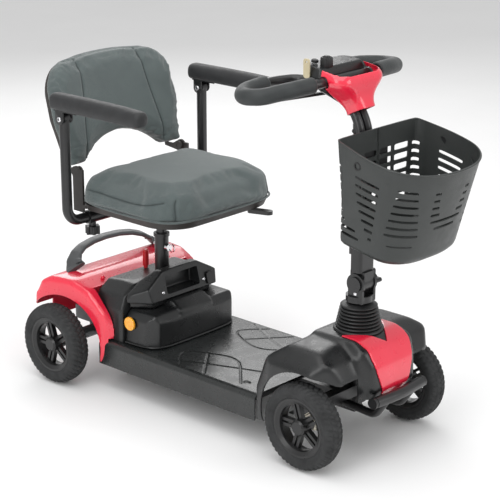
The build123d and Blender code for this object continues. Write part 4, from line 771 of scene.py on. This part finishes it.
for end in ("front", "rear"):
    for side, _ in SIDES:
        tyre(f"{end}_tyre_{side}")


# ---------------------------------------------------------------- floor deck
def line_distance(points, lines):
    """The distance from each of many points to the nearest of several polylines."""
    best = np.full(len(points), 1.0)
    for line in lines:
        for a, b in zip(line, line[1:]):
            a, b = np.array(a), np.array(b)
            along = b - a
            share = np.clip(((points - a) @ along) / max(along @ along, 1e-12), 0, 1)
            best = np.minimum(best, np.linalg.norm(points - a - share[:, None] * along, axis=1))
    return best


def rounded_line(points, rounds=3):
    """A polyline with its corners cut smooth."""
    points = [Vector(p) for p in points]
    for _ in range(rounds):
        cut = [points[0]]
        for a, b in zip(points, points[1:]):
            cut += [a.lerp(b, 0.25), a.lerp(b, 0.75)]
        points = cut + [points[-1]]
    return points


def floor_deck():
    """The deck pan: rounded shoulders, moulded grooves in its floor and two screw sinks."""
    low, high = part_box("floor_deck")
    top = 0.125
    half, radius = high.x, 0.014
    inner = half - radius
    profile = [(-half, low.z), (-half, top - 0.03)]
    shoulder = (0, 0.3, 0.6, 0.9, 1.2)
    profile += [(radius - half - radius * math.cos(t), top - radius + radius * math.sin(t)) for t in shoulder]
    profile += [(-inner + 2 * inner * k / 176, top) for k in range(177)]
    profile += [(-x, z) for x, z in profile[6::-1]]
    steps = 250
    hole_x, hole_y = 0.131, -0.094
    grooves = []
    for sign in (1, -1):
        curve = [(0.158, 0.096), (0.112, 0.142), (0.086, 0.145), (0.062, 0.100), (0.043, 0.050),
                 (0.046, 0.015), (0.064, -0.012), (0.104, -0.049), (0.146, -0.089)]
        grooves.append([(sign * p.x, p.y) for p in rounded_line([(*p, 0) for p in curve])])
        grooves.append([(sign * 0.160, 0.146), (sign * 0.113, 0.056), (sign * 0.061, -0.078)])
        grooves.append([(sign * 0.066, 0.092), (sign * 0.158, 0.017)])

    def build(bm):
        ys = [low.y + (high.y - low.y) * k / steps for k in range(steps + 1)]
        places = np.array([(x, y) for y in ys for x, _ in profile])
        far = line_distance(places, grooves)
        holes = np.hypot(np.abs(places[:, 0]) - hole_x, (places[:, 1] - hole_y) / 1.3)
        depth = 0.0020 * np.clip((0.0027 - far) / 0.0012, 0, 1)
        depth += 0.0030 * np.clip((0.0075 - holes) / 0.0014, 0, 1)
        count = len(profile)
        rows = []
        for j, y in enumerate(ys):
            row = []
            for k, (x, z) in enumerate(profile):
                sink = float(depth[j * count + k]) if z >= top - 1e-9 else 0.0
                row.append(bm.verts.new((x, y, z - sink)))
            rows.append(row)
        skin(bm, rows, closed=False)

    mesh = walled(mesh_from("floor_deck_pan", build))
    stand_for(add_object("floor_deck_pan", mesh, DECK, 50), "floor_deck")


floor_deck()


# ---------------------------------------------------------------- steering boot
def steering_boot():
    """A soft gaiter with seven rounded pleats."""
    low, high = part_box("steering_boot")
    centre = (low + high) / 2
    base, crown = (high.x - low.x) / 2, 0.039
    height = high.z - low.z
    profile = [(base - 0.006, 0.0), (base, 0.0005), (base, 0.0035), (base - 0.002, 0.0055)]
    pleats, fine = 7, 12
    for k in range(pleats * fine + 1):
        share = k / (pleats * fine)
        swell = abs(math.sin(math.pi * share * pleats)) ** 0.7
        radius = base - 0.010 + (crown - base + 0.006) * share + 0.0062 * swell
        profile.append((radius, 0.006 + (height - 0.0095) * share))
    profile += [(0.030, height - 0.001), (0.0145, height)]
    mesh = mesh_from("boot", lathe(profile, (centre.x, centre.y, low.z), (0, 0, 1), 96))
    stand_for(add_object("steering_boot_gaiter", mesh, BOOT, 60), "steering_boot")


steering_boot()


# ---------------------------------------------------------------- padded pieces
CLOTH_FRAMES = 20
PIVOT_Y, PIVOT_Z = middle("arm_tube_left").y, 0.682


def coordinates(mesh):
    flat = np.empty(len(mesh.vertices) * 3)
    mesh.vertices.foreach_get("co", flat)
    return flat.reshape(-1, 3)


def put_coordinates(mesh, places):
    mesh.vertices.foreach_set("co", places.reshape(-1))
    mesh.update()


def puffed(mesh, resting, cap, pressure):
    """Blow a closed pad up as cloth, with its resting side held and no point moving farther than cap."""
    start = coordinates(mesh).copy()
    held = np.array([resting(vert.co, vert.normal) for vert in mesh.vertices])
    passing = passing_object(mesh)
    pinned = passing.vertex_groups.new(name="held")
    pinned.add([int(k) for k in np.nonzero(held)[0]], 1.0, "REPLACE")
    cloth = passing.modifiers.new("cloth", "CLOTH")
    cloth.settings.use_pressure = True
    cloth.settings.uniform_pressure_force = pressure
    cloth.settings.vertex_group_mass = "held"
    cloth.settings.effector_weights.gravity = 0
    for step in range(1, CLOTH_FRAMES + 1):
        bpy.context.scene.frame_set(step)
    moved = coordinates(evaluated(passing)) - start
    bpy.context.scene.frame_set(1)
    bpy.data.objects.remove(passing)
    length = np.linalg.norm(moved, axis=1)
    share = np.minimum(1.0, cap / np.maximum(length, 1e-9))
    put_coordinates(mesh, start + moved * share[:, None] * ~held[:, None])
    return modified(mesh, smoothing(3), ("SUBSURF", {"levels": 1}))


def sewn(mesh, lines, depth=0.0024, width=0.0045):
    """Pull a padded surface in along its seams."""
    places = coordinates(mesh)
    normals = np.array([v.normal for v in mesh.vertices])
    pull = depth * np.exp(-((line_distance(places, lines) / width) ** 2))
    put_coordinates(mesh, places - normals * pull[:, None])


def wrinkled(mesh, depth, scale, where):
    """Soft creases in loose cover cloth, as strong as where(place) says."""
    places = coordinates(mesh)
    for k, vert in enumerate(mesh.vertices):
        strength = where(vert.co)
        if strength > 0:
            place = Vector((vert.co.x * scale, vert.co.y * scale, vert.co.z * scale * 2.5))
            crease = abs(noise.noise(place))
            places[k] -= np.array(vert.normal) * (depth * strength * (1 - min(1, crease * 3.5)))
    put_coordinates(mesh, places)


def on_surface(mesh, points, away):
    """Points dropped onto a mesh along a direction, keeping those that land."""
    tree = BVHTree.FromPolygons([v.co[:] for v in mesh.vertices], [p.vertices[:] for p in mesh.polygons])
    landed = []
    for point in points:
        start = Vector(point) + Vector(away) * 0.15
        hit = tree.ray_cast(start, -Vector(away))[0]
        if hit is not None:
            landed.append(hit)
    return landed


def stitched(name, mesh, guide, away, body_node, count=40):
    """A seam: its line dropped onto the cushion, the cloth drawn in along it, and a thread in the fold."""
    line = rounded_line(guide)
    dense = [line[int(k * (len(line) - 1) / count)] for k in range(count + 1)]
    landed = on_surface(mesh, dense, away)
    if len(landed) < 4:
        return
    sewn(mesh, [[tuple(p) for p in landed]])
    thread = [p - Vector(away) * 0.0016 for p in landed]
    detail(tube(name, thread, 0.0009, SEAM), body_node)


def seat_cushion():
    """The seat pad: crowned, with side panels sewn in and a boxed front corner on each side."""
    low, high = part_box("seat_cushion")
    mesh = remeshed(NODES["seat_cushion"].data.copy(), 0.0055, 12, 0.6)
    places = coordinates(mesh)
    middle_point = (np.array(low) + np.array(high)) / 2
    places = middle_point + (places - middle_point) * np.array([0.985, 0.985, 1.0])
    put_coordinates(mesh, places)
    mesh = puffed(mesh, lambda p, n: p.z < low.z + 0.010, 0.012, 4.0)
    places = coordinates(mesh)
    across = np.clip(1 - (places[:, 0] / high.x) ** 2, 0, 1)
    lengthwise = np.clip(1 - ((places[:, 1] - middle_point[1]) / ((high.y - low.y) / 2)) ** 2, 0, 1)
    lift = np.clip((places[:, 2] - low.z) / (high.z - low.z), 0, 1)
    crown, shoulder = 0.010, 0.008
    places[:, 2] += crown * lift * (across * lengthwise) - shoulder * lift * np.clip(1 - across * 1.8, 0, 1)
    put_coordinates(mesh, places)
    front, back = low.y, high.y
    for name, out in SIDES:
        top = [(0.080, back - 0.012), (0.098, back - 0.060), (0.092, front + 0.200), (0.096, front + 0.100),
               (0.118, front + 0.055), (0.150, front + 0.022)]
        guide = [(out * x, y, 0) for x, y in top]
        stitched(f"seat_seam_top_{name}", mesh, guide, (0, 0, 1), "seat_cushion")
        band = [(back - 0.040, 0.506), (front + 0.200, 0.500), (front + 0.110, 0.500), (front + 0.050, 0.516)]
        guide = [(out * 0.10, y, z) for y, z in band]
        stitched(f"seat_seam_band_{name}", mesh, guide, (out, 0, 0), "seat_cushion")
        corner = [(0.150, 0.522), (0.156, 0.505), (0.158, 0.474)]
        guide = [(out * x, front + 0.05, z) for x, z in corner]
        stitched(f"seat_seam_corner_{name}", mesh, guide, (0, -1, 0), "seat_cushion", 16)
    wrinkled(mesh, 0.0012, 26, lambda p: max(0.0, 1 - abs(p.z - low.z - 0.012) / 0.022))
    piece = add_object("seat_cushion_cover", mesh, CLOTH, None)
    stand_for(piece, "seat_cushion")
    hem = [(0.170, back), (0.193, back - 0.05), (0.194, front + 0.09), (0.172, front + 0.022),
           (0.10, front + 0.004)]
    ring = [(x, y, low.z + 0.003) for x, y in both_ways(hem)]
    detail(tube("seat_cushion_hem", ring, 0.0026, CLOTH), "seat_cushion")


def backrest_cushion():
    """The back pad: two upright seams, a rounded crown and loose cloth at the foot of each leg."""
    low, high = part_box("backrest_cushion")
    mesh = remeshed(NODES["backrest_cushion"].data.copy(), 0.005, 10, 0.6)
    lean = math.radians(15)
    rear = Vector((0, math.cos(lean), -math.sin(lean)))
    mesh = puffed(mesh, lambda p, n: n.dot(rear) > 0.4, 0.009, 4.0)
    for name, out in SIDES:
        guide = [(0.098, 0.45, 0.800), (0.102, 0.45, 0.740), (0.112, 0.43, 0.680), (0.128, 0.42, 0.600),
                 (0.130, 0.41, 0.560)]
        guide = [(out * x, y, z) for x, y, z in guide]
        stitched(f"back_seam_{name}", mesh, guide, (0, -1, 0), "backrest_cushion")

    def at_legs(p):
        return max(0.0, min(1.0, (low.z + 0.085 - p.z) / 0.07)) * (abs(p.x) > 0.07)

    wrinkled(mesh, 0.0024, 20, at_legs)
    piece = add_object("backrest_cushion_cover", mesh, CLOTH, None)
    stand_for(piece, "backrest_cushion")


def islands(bm):
    """The separate groups of joined vertices."""
    seen, groups = set(), []
    for first in bm.verts:
        if first in seen:
            continue
        island, stack = [], [first]
        seen.add(first)
        while stack:
            vert = stack.pop()
            island.append(vert)
            for edge in vert.link_edges:
                other = edge.other_vert(vert)
                if other not in seen:
                    seen.add(other)
                    stack.append(other)
        groups.append(island)
    return groups


def armrest(side):
    """A skinned foam pad with a drooping nose, over the pivot bracket that carries it."""
    node = f"armrest_{side}"
    low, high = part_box(node)
    bm = bmesh.new()
    bm.from_mesh(NODES[node].data)
    bmesh.ops.remove_doubles(bm, verts=bm.verts, dist=1e-6)
    pads = [v for group in islands(bm) if max(v.co.z for v in group) > high.z - 0.004 for v in group]
    pad_low = Vector([min(v.co[k] for v in pads) for k in range(3)])
    pad_high = Vector([max(v.co[k] for v in pads) for k in range(3)])
    bmesh.ops.delete(bm, geom=pads, context="VERTS")
    bracket_mesh = bpy.data.meshes.new(f"{node}_bracket")
    bm.to_mesh(bracket_mesh)
    bm.free()
    detail(add_object(f"{node}_bracket", bracket_mesh, FRAME_PAINT, 30), node)
    centre_x = (pad_low.x + pad_high.x) / 2
    half, thick = (pad_high.x - pad_low.x) / 2, pad_high.z - pad_low.z
    length = pad_high.y - pad_low.y
    rings = []
    for k in range(61):
        share = k / 60
        y = pad_high.y - length * share
        end = min(1.0, math.sqrt(max(0.0, 1 - (1 - min(1, share / 0.05)) ** 2)) + 0.08)
        nose = min(1.0, math.sqrt(max(0.0, 1 - max(0.0, (share - 0.93) / 0.07) ** 2)) + 0.06)
        size = min(end, nose)
        droop = 0.0085 * max(0.0, (share - 0.70) / 0.30) ** 1.7
        swell = 0.9 + 0.1 * math.sin(math.pi * min(1, share * 1.15))
        ring = []
        for t in turns(36):
            c, s = math.cos(t), math.sin(t)
            x = half * swell * size * math.copysign(abs(c) ** 0.62, c)
            z = thick / 2 * size * math.copysign(abs(s) ** (0.75 if s > 0 else 0.55), s)
            sunk = droop * (0.35 if s > 0 else 0.0)
            ring.append((centre_x + x, y, pad_low.z + thick / 2 + z - sunk - 0.0015 * (1 - swell)))
        rings.append(ring)
    mesh = remeshed(mesh_from(node, loft(rings)), 0.004, 2)
    mesh = puffed(mesh, lambda p, n: p.z < pad_low.z + 0.006, 0.004, 2.0)
    piece = add_object(f"{node}_pad", mesh, SOFT, None)
    stand_for(piece, node)
    for name, sign in (("a", 1), ("b", -1)):
        place = (centre_x + sign * 0.0145, PIVOT_Y, PIVOT_Z)
        screw(f"{node}_bolt_{name}", place, (sign, 0, 0), 0.0065, node)


seat_cushion()
backrest_cushion()
for side, _ in SIDES:
    armrest(side)


def grips():
    """Foam sleeves on both loops, with a rolled edge at each end."""
    mesh = remeshed(NODES["grips"].data.copy(), 0.0026, 8)
    piece = add_object("grip_sleeves", mesh, FOAM, None)
    stand_for(piece, "grips")


grips()


# ---------------------------------------------------------------- basket
CORNER_U = 0.119


def corner_cut(loop, share):
    """A closed outline with each corner cut away once."""
    return [q for a, b in zip(loop, loop[1:] + loop[:1]) for q in (a.lerp(b, share), a.lerp(b, 1 - share))]


def even_ring(points, count):
    """A closed rounded outline walked in equal steps from the middle of its rear side."""
    loop = [Vector(p) for p in points]
    for _ in range(4):
        loop = corner_cut(loop, 0.25)
    crossings = [k for k, (a, b) in enumerate(zip(loop, loop[1:] + loop[:1])) if (a.x > 0) != (b.x > 0)]
    start = min(crossings, key=lambda k: loop[k].y)
    a, b = loop[start], loop[(start + 1) % len(loop)]
    loop = [a.lerp(b, a.x / (a.x - b.x))] + loop[start + 1:] + loop[:start + 1]
    lengths = [0.0]
    for a, b in zip(loop, loop[1:] + loop[:1]):
        lengths.append(lengths[-1] + (b - a).length)
    ring, k = [], 0
    for step in range(count):
        want = lengths[-1] * step / count
        while lengths[k + 1] < want:
            k += 1
        share = (want - lengths[k]) / max(1e-9, lengths[k + 1] - lengths[k])
        ring.append(loop[k % len(loop)].lerp(loop[(k + 1) % len(loop)], share))
    return ring


def slot_prism(bm, corners, half_depth):
    """A cutter through the flat wall: a four-cornered slot with rounded ends, in wall coordinates."""
    outline = [Vector((*corner, 0)) for corner in corners]
    for _ in range(2):
        outline = corner_cut(outline, 0.12)
    loft([[(p.x, p.y, z) for p in outline] for z in (-half_depth, half_depth)])(bm)


def basket_slots():
    """The slots of one half of the wall, as (start, end, height) along it from the front centre."""
    pitch = 0.0183
    reaches = [0.021 + 0.0030 * k for k in range(7)]
    corner = [(CORNER_U - reach, CORNER_U + reach, 0.186 - pitch * k) for k, reach in enumerate(reaches)]
    front = [(0.040 - 0.0012 * k * k, 0.056, 0.181 - pitch * k) for k in range(4)]
    side = [(0.178 + 0.0012 * k, 0.240 - 0.0009 * k * k, 0.178 - pitch * k) for k in range(8)]
    rear = [(0.287 - 0.0006 * k * k, 0.309, 0.178 - pitch * k) for k in range(7)]
    return corner + front + side + rear + [(0.232, 0.309, 0.052), (0.222, 0.309, 0.036)]


def basket():
    """A thin moulded basket: a flat wall cut with slots, then wrapped round between its floor and its rim."""
    rear_y, floor_y = FRONT_Y - 0.040, FRONT_Y - 0.046
    count, height, thick, perimeter = 240, 0.232, 0.003, 0.85
    front = perimeter / 2
    rim_half = [(0.126, 0.0), (0.1345, 0.004), (0.1375, 0.018), (0.151, 0.090), (0.144, 0.166),
                (0.070, 0.215)]
    floor_half = [(0.122, 0.0), (0.1305, 0.004), (0.1315, 0.014), (0.131, 0.062), (0.128, 0.116),
                  (0.062, 0.151)]
    rim_tilt, floor_tilt = math.tan(math.radians(13.8)), math.tan(math.radians(10.8))

    def outline(half, y0, z0, tilt, inset):
        points = [(-x * inset, f, 0) for x, f in half] + [(x * inset, f, 0) for x, f in half[::-1]]
        ring = even_ring([(x, f * inset + 0.003 * (1 - inset), 0) for x, f, _ in points], count)
        return [Vector((p.x, y0 - p.y, z0 - p.y * tilt)) for p in ring]

    rim = outline(rim_half, rear_y, 0.742, rim_tilt, 1.01)
    foot = outline(floor_half, floor_y, 0.512, floor_tilt, 1.0)
    flat = mesh_from("wall", lambda bm: bmesh.ops.create_grid(bm, x_segments=count, y_segments=36, size=0.5))
    for vert in flat.vertices:
        vert.co = ((vert.co.x + 0.5) * perimeter, (vert.co.y + 0.5) * height, 0)
    flat = modified(flat, ("SOLIDIFY", {"thickness": thick, "offset": 0}))
    half_slot, half_groove, half_window = 0.0037, 0.0022, 0.0068

    def cutters(bm):
        def slot(start, end, v, half):
            start, end = front + start, front + end
            slot_prism(bm, [(start, v - half), (end, v - half), (end, v + half), (start, v + half)], 0.01)

        for start, end, v in basket_slots():
            slot(start, end, v, half_slot)
            slot(-end, -start, v, half_slot)
        slot(-0.052, 0.052, 0.108, half_slot)
        slot(-0.036, 0.036, 0.090, half_slot)
        for sign in (1, -1):
            slot(sign * CORNER_U - 0.030, sign * CORNER_U + 0.030, 0.049, half_groove)
        for k in range(6):
            for sign in (1, -1):
                for place, half_width in ((0.026, 0.021), (0.080, 0.024)):
                    u = sign * (front - place)
                    slot(u - half_width, u + half_width, 0.178 - 0.0225 * k, half_window)

    wall = cut_out(flat, mesh_from("cutter", cutters))

    def wrapped(u, v, depth):
        """A flat wall point put on the real wall; depth counts outward from the middle of the skin."""
        place = (u / perimeter) % 1.0 * count
        k, share = int(place) % count, place - int(place)
        rise = v / height
        low_point = foot[k].lerp(foot[(k + 1) % count], share)
        high_point = rim[k].lerp(rim[(k + 1) % count], share)
        along = (rim[(k + 1) % count] - rim[k]).normalized()
        up = (high_point - low_point).normalized()
        outward = up.cross(along).normalized()
        if outward.dot(high_point - Vector((0, rear_y - 0.1, high_point.z))) < 0:
            outward = -outward
        tuck = 0.016 * max(0.0, 1 - rise / 0.075) ** 2
        inward = (low_point - Vector((0, floor_y - 0.075, low_point.z))).normalized()
        return low_point.lerp(high_point, rise) + outward * depth - inward * tuck

    for vert in wall.vertices:
        vert.co = wrapped(vert.co.x, vert.co.y, vert.co.z)
    bm = bmesh.new()
    bm.from_mesh(wall)
    bmesh.ops.remove_doubles(bm, verts=bm.verts[:], dist=2e-5)
    sectors, shares = 60, (0.0, 0.25, 0.5, 0.75, 0.97)
    walk = [perimeter * k / sectors for k in range(sectors)]
    inner = [wrapped(u, 0.0, -thick / 2) + Vector((0, 0, 0.0006)) for u in walk]
    outer = [wrapped(u, 0.0, thick / 2) + Vector((0, 0, -0.0004)) for u in walk]
    middle_point = sum(inner, Vector()) / len(inner)
    rise = Vector((0, 0, thick))
    upper = [[bm.verts.new(p.lerp(middle_point, share) + rise) for p in inner] for share in shares]
    lower = [[bm.verts.new(p.lerp(middle_point, share)) for p in outer] for share in shares]
    skin(bm, upper)
    bm.faces.new(upper[-1])
    skin(bm, [ring[::-1] for ring in lower])
    bm.faces.new(lower[-1][::-1])
    skin(bm, [lower[0], upper[0]])
    bm.to_mesh(wall)
    bm.free()
    stand_for(add_object("basket_moulding", wall, BASKET, 40), "basket")
    lip = [wrapped(perimeter * k / 80, height - 0.002, 0.0012) for k in range(80)]
    detail(tube("basket_rim_bead", lip, 0.0021, BASKET, cyclic=True, resolution=2), "basket")
    for name, out in SIDES:
        ledge = [(0.076, 0.196), (0.078, 0.200), (0.160, 0.200), (0.162, 0.196)]
        line = [wrapped(front + out * u, v, thick / 2) for u, v in ledge]
        detail(tube(f"basket_ledge_{name}", line, 0.0010, BASKET), "basket")
    for name, out in SIDES:
        place = wrapped(front + out * 0.236, 0.204, thick / 2)
        profile = [(0.0092, -0.003), (0.0092, 0.0012), (0.0062, 0.0014), (0.0058, -0.001)]
        boss = mesh_from("boss", lathe(profile, place, (out, 0.05, 0), 24))
        detail(add_object(f"basket_hook_boss_{name}", boss, CONTROL, 40), "basket")


basket()


# ---------------------------------------------------------------- head, controls and fixings
soft_copy("head_cover", "head_cover_skin", RED, 0.002, 40)
soft_copy("console", "console_skin", BLACK, 0.0018, 8)


def rear_handle():
    """The lifting handle: one flat moulded strap, broad at its two feet and slim over its arch."""
    half = [(0.140, 0.006, 0.2715, 0.026), (0.137, 0.016, 0.2750, 0.025), (0.130, 0.026, 0.2850, 0.021),
            (0.112, 0.037, 0.2980, 0.016), (0.084, 0.046, 0.3070, 0.0135), (0.045, 0.051, 0.3125, 0.0125)]
    whole = half + [(0, 0.053, 0.3140, 0.0122)] + [(-x, y, z, width) for x, y, z, width in half[::-1]]
    route, widths = [Vector(p[:3]) for p in whole], [p[3] for p in whole]
    steps, half_thick = 72, 0.0062
    line, wide = [], []
    for k in range(steps + 1):
        place = k / steps * (len(route) - 1)
        i = min(int(place), len(route) - 2)
        share = place - i
        share = share * share * (3 - 2 * share) * 0.5 + share * 0.5
        line.append(route[i].lerp(route[i + 1], share) + Vector((0, REAR_Y, 0)))
        wide.append(widths[i] * (1 - share) + widths[i + 1] * share)
    rings = []
    for k, point in enumerate(line):
        along = (line[min(k + 1, steps)] - line[max(k - 1, 0)]).normalized()
        across = Vector((0, 1, 0.15))
        across = (across - along * across.dot(along)).normalized()
        up = along.cross(across).normalized()
        ring = []
        for turn in turns(24):
            c, t = math.cos(turn), math.sin(turn)
            x = math.copysign(abs(c) ** 0.6, c) * wide[k]
            z = math.copysign(abs(t) ** 0.7, t) * half_thick
            ring.append(point + across * x + up * z)
        rings.append(ring)
    mesh = modified(mesh_from("strap", loft(rings)), smoothing(6))
    stand_for(add_object("rear_handle_strap", mesh, HANDLE, 60), "rear_handle")


rear_handle()


def tiller_bolts():
    """Two domed bolt heads low on the tiller column."""
    radius, height = 0.0052, 0.004
    dome = ((1.0, -0.002), (1.0, 0.35), (0.95, 0.7), (0.80, 0.92), (0.5, 1.0), (0.12, 1.02))
    profile = [(radius * share, lift * height if lift > 0 else lift) for share, lift in dome]
    for k, z in enumerate((0.364, 0.374)):
        name = f"tiller_bolt_{k}"
        mesh = mesh_from(name, lathe(profile, (-0.0205, FRONT_Y - 0.007, z), (-1, 0, 0), 28))
        detail(add_object(name, mesh, CHROME, 50), "tiller_column")


def speed_dial():
    """A knurled dial with two raised rings."""
    low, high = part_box("speed_dial")
    centre = (low + high) / 2
    radius, height = (high.x - low.x) / 2, high.z - low.z
    rings = []
    profile = ((0.98, 0.0), (1.0, 0.08), (1.0, 0.72), (0.93, 0.86), (0.72, 0.90), (0.66, 0.82), (0.50, 0.82),
               (0.44, 1.0), (0.10, 1.0))
    for share, lift in profile:
        ring = []
        for turn in turns(96):
            knurl = 0.05 * (1 if math.sin(turn * 16) > 0 else 0) * (share > 0.9)
            reach, z = radius * (share - knurl), low.z + height * lift
            ring.append((centre.x + reach * math.cos(turn), centre.y + reach * math.sin(turn), z))
        rings.append(ring)
    stand_for(add_object("speed_dial_knob", mesh_from("dial", loft(rings)), CONTROL, 40), "speed_dial")


def handle_screws():
    for side, out in SIDES:
        for name, y in (("a", 0.010), ("b", 0.036)):
            place = (out * 0.131, REAR_Y + y, 0.2815)
            screw(f"rear_handle_screw_{name}_{side}", place, (0, 0, 1), 0.0058, "rear_handle", CONTROL)


def loom_clips():
    """Collars that hold the wiring loom to the tiller."""
    low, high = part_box("wiring_loom")
    collar = [(0.0068, -0.003), (0.0075, -0.002), (0.0075, 0.002), (0.0068, 0.003)]
    clips = 7
    for k in range(clips):
        z = low.z + (high.z - low.z) * (0.06 + 0.88 * k / (clips - 1))
        place = ((low.x + high.x) / 2, (low.y + high.y) / 2, z)
        mesh = mesh_from("collar", lathe(collar, place, (0, 0, 1), 20))
        detail(add_object(f"loom_clip_{k}", mesh, CONTROL, 40), "wiring_loom")


speed_dial()
handle_screws()
tiller_bolts()
loom_clips()


# ---------------------------------------------------------------- camera, light and floor
def look_from(azimuth, elevation, target, distance):
    """The place that looks at target, and its direction; azimuth 0 looks along +Y. Angles in degrees."""
    a, e = math.radians(azimuth), math.radians(elevation)
    away = Vector((math.sin(a) * math.cos(e), -math.cos(a) * math.cos(e), math.sin(e)))
    return Vector(target) + away * distance, away


def make_camera():
    """A long lens, well back and a little above, that looks at the scooter's front and one side."""
    data = bpy.data.cameras.new("camera")
    data.sensor_width = 36.0
    data.lens = 118.12
    azimuth, elevation, distance = -47.43, 18.1, 3.872
    place, away = look_from(azimuth, elevation, (0.0244, 0.0392, 0.3763), distance)
    camera = bpy.data.objects.new("camera", data)
    camera.location = place
    camera.rotation_euler = away.to_track_quat("Z", "Y").to_euler()
    bpy.context.scene.collection.objects.link(camera)
    bpy.context.scene.camera = camera


def area_light(name, place, size, power):
    """A soft box that faces the middle of the object."""
    data = bpy.data.lights.new(name, "AREA")
    data.shape = "RECTANGLE"
    data.size, data.size_y = size
    data.energy = power
    light = bpy.data.objects.new(name, data)
    light.location = place
    light.rotation_euler = (Vector(place) - Vector((0, 0, 0.4))).to_track_quat("Z", "Y").to_euler()
    bpy.context.scene.collection.objects.link(light)


def make_studio():
    """A white seamless floor under large soft boxes."""
    world = bpy.data.worlds.new("studio")
    world.use_nodes = True
    background = world.node_tree.nodes["Background"]
    background.inputs["Color"].default_value = (1.0, 1.0, 1.0, 1)
    background.inputs["Strength"].default_value = 0.62
    bpy.context.scene.world = world
    area_light("overhead", (-0.6, -0.4, 3.2), (3.4, 3.4), 60)
    area_light("front_left", (-3.0, -0.6, 1.8), (1.6, 2.4), 34)
    area_light("front_right", (1.2, -3.4, 1.6), (1.8, 1.8), 26)
    area_light("back_rim", (2.0, 2.6, 2.2), (2.4, 1.4), 30)
    bpy.ops.mesh.primitive_grid_add(x_subdivisions=2, y_subdivisions=2, size=60, location=(0, 0, -0.0005))
    floor = bpy.context.object
    floor.name = "studio_floor"
    s = Shader("studio_paper")
    s.colour(s.noise(2), (0.92, 0.92, 0.92), (0.94, 0.94, 0.94))
    s.set(Roughness=0.9)
    floor.data.materials.append(s.material)


make_camera()
make_studio()
bpy.context.scene.view_settings.view_transform = "Standard"
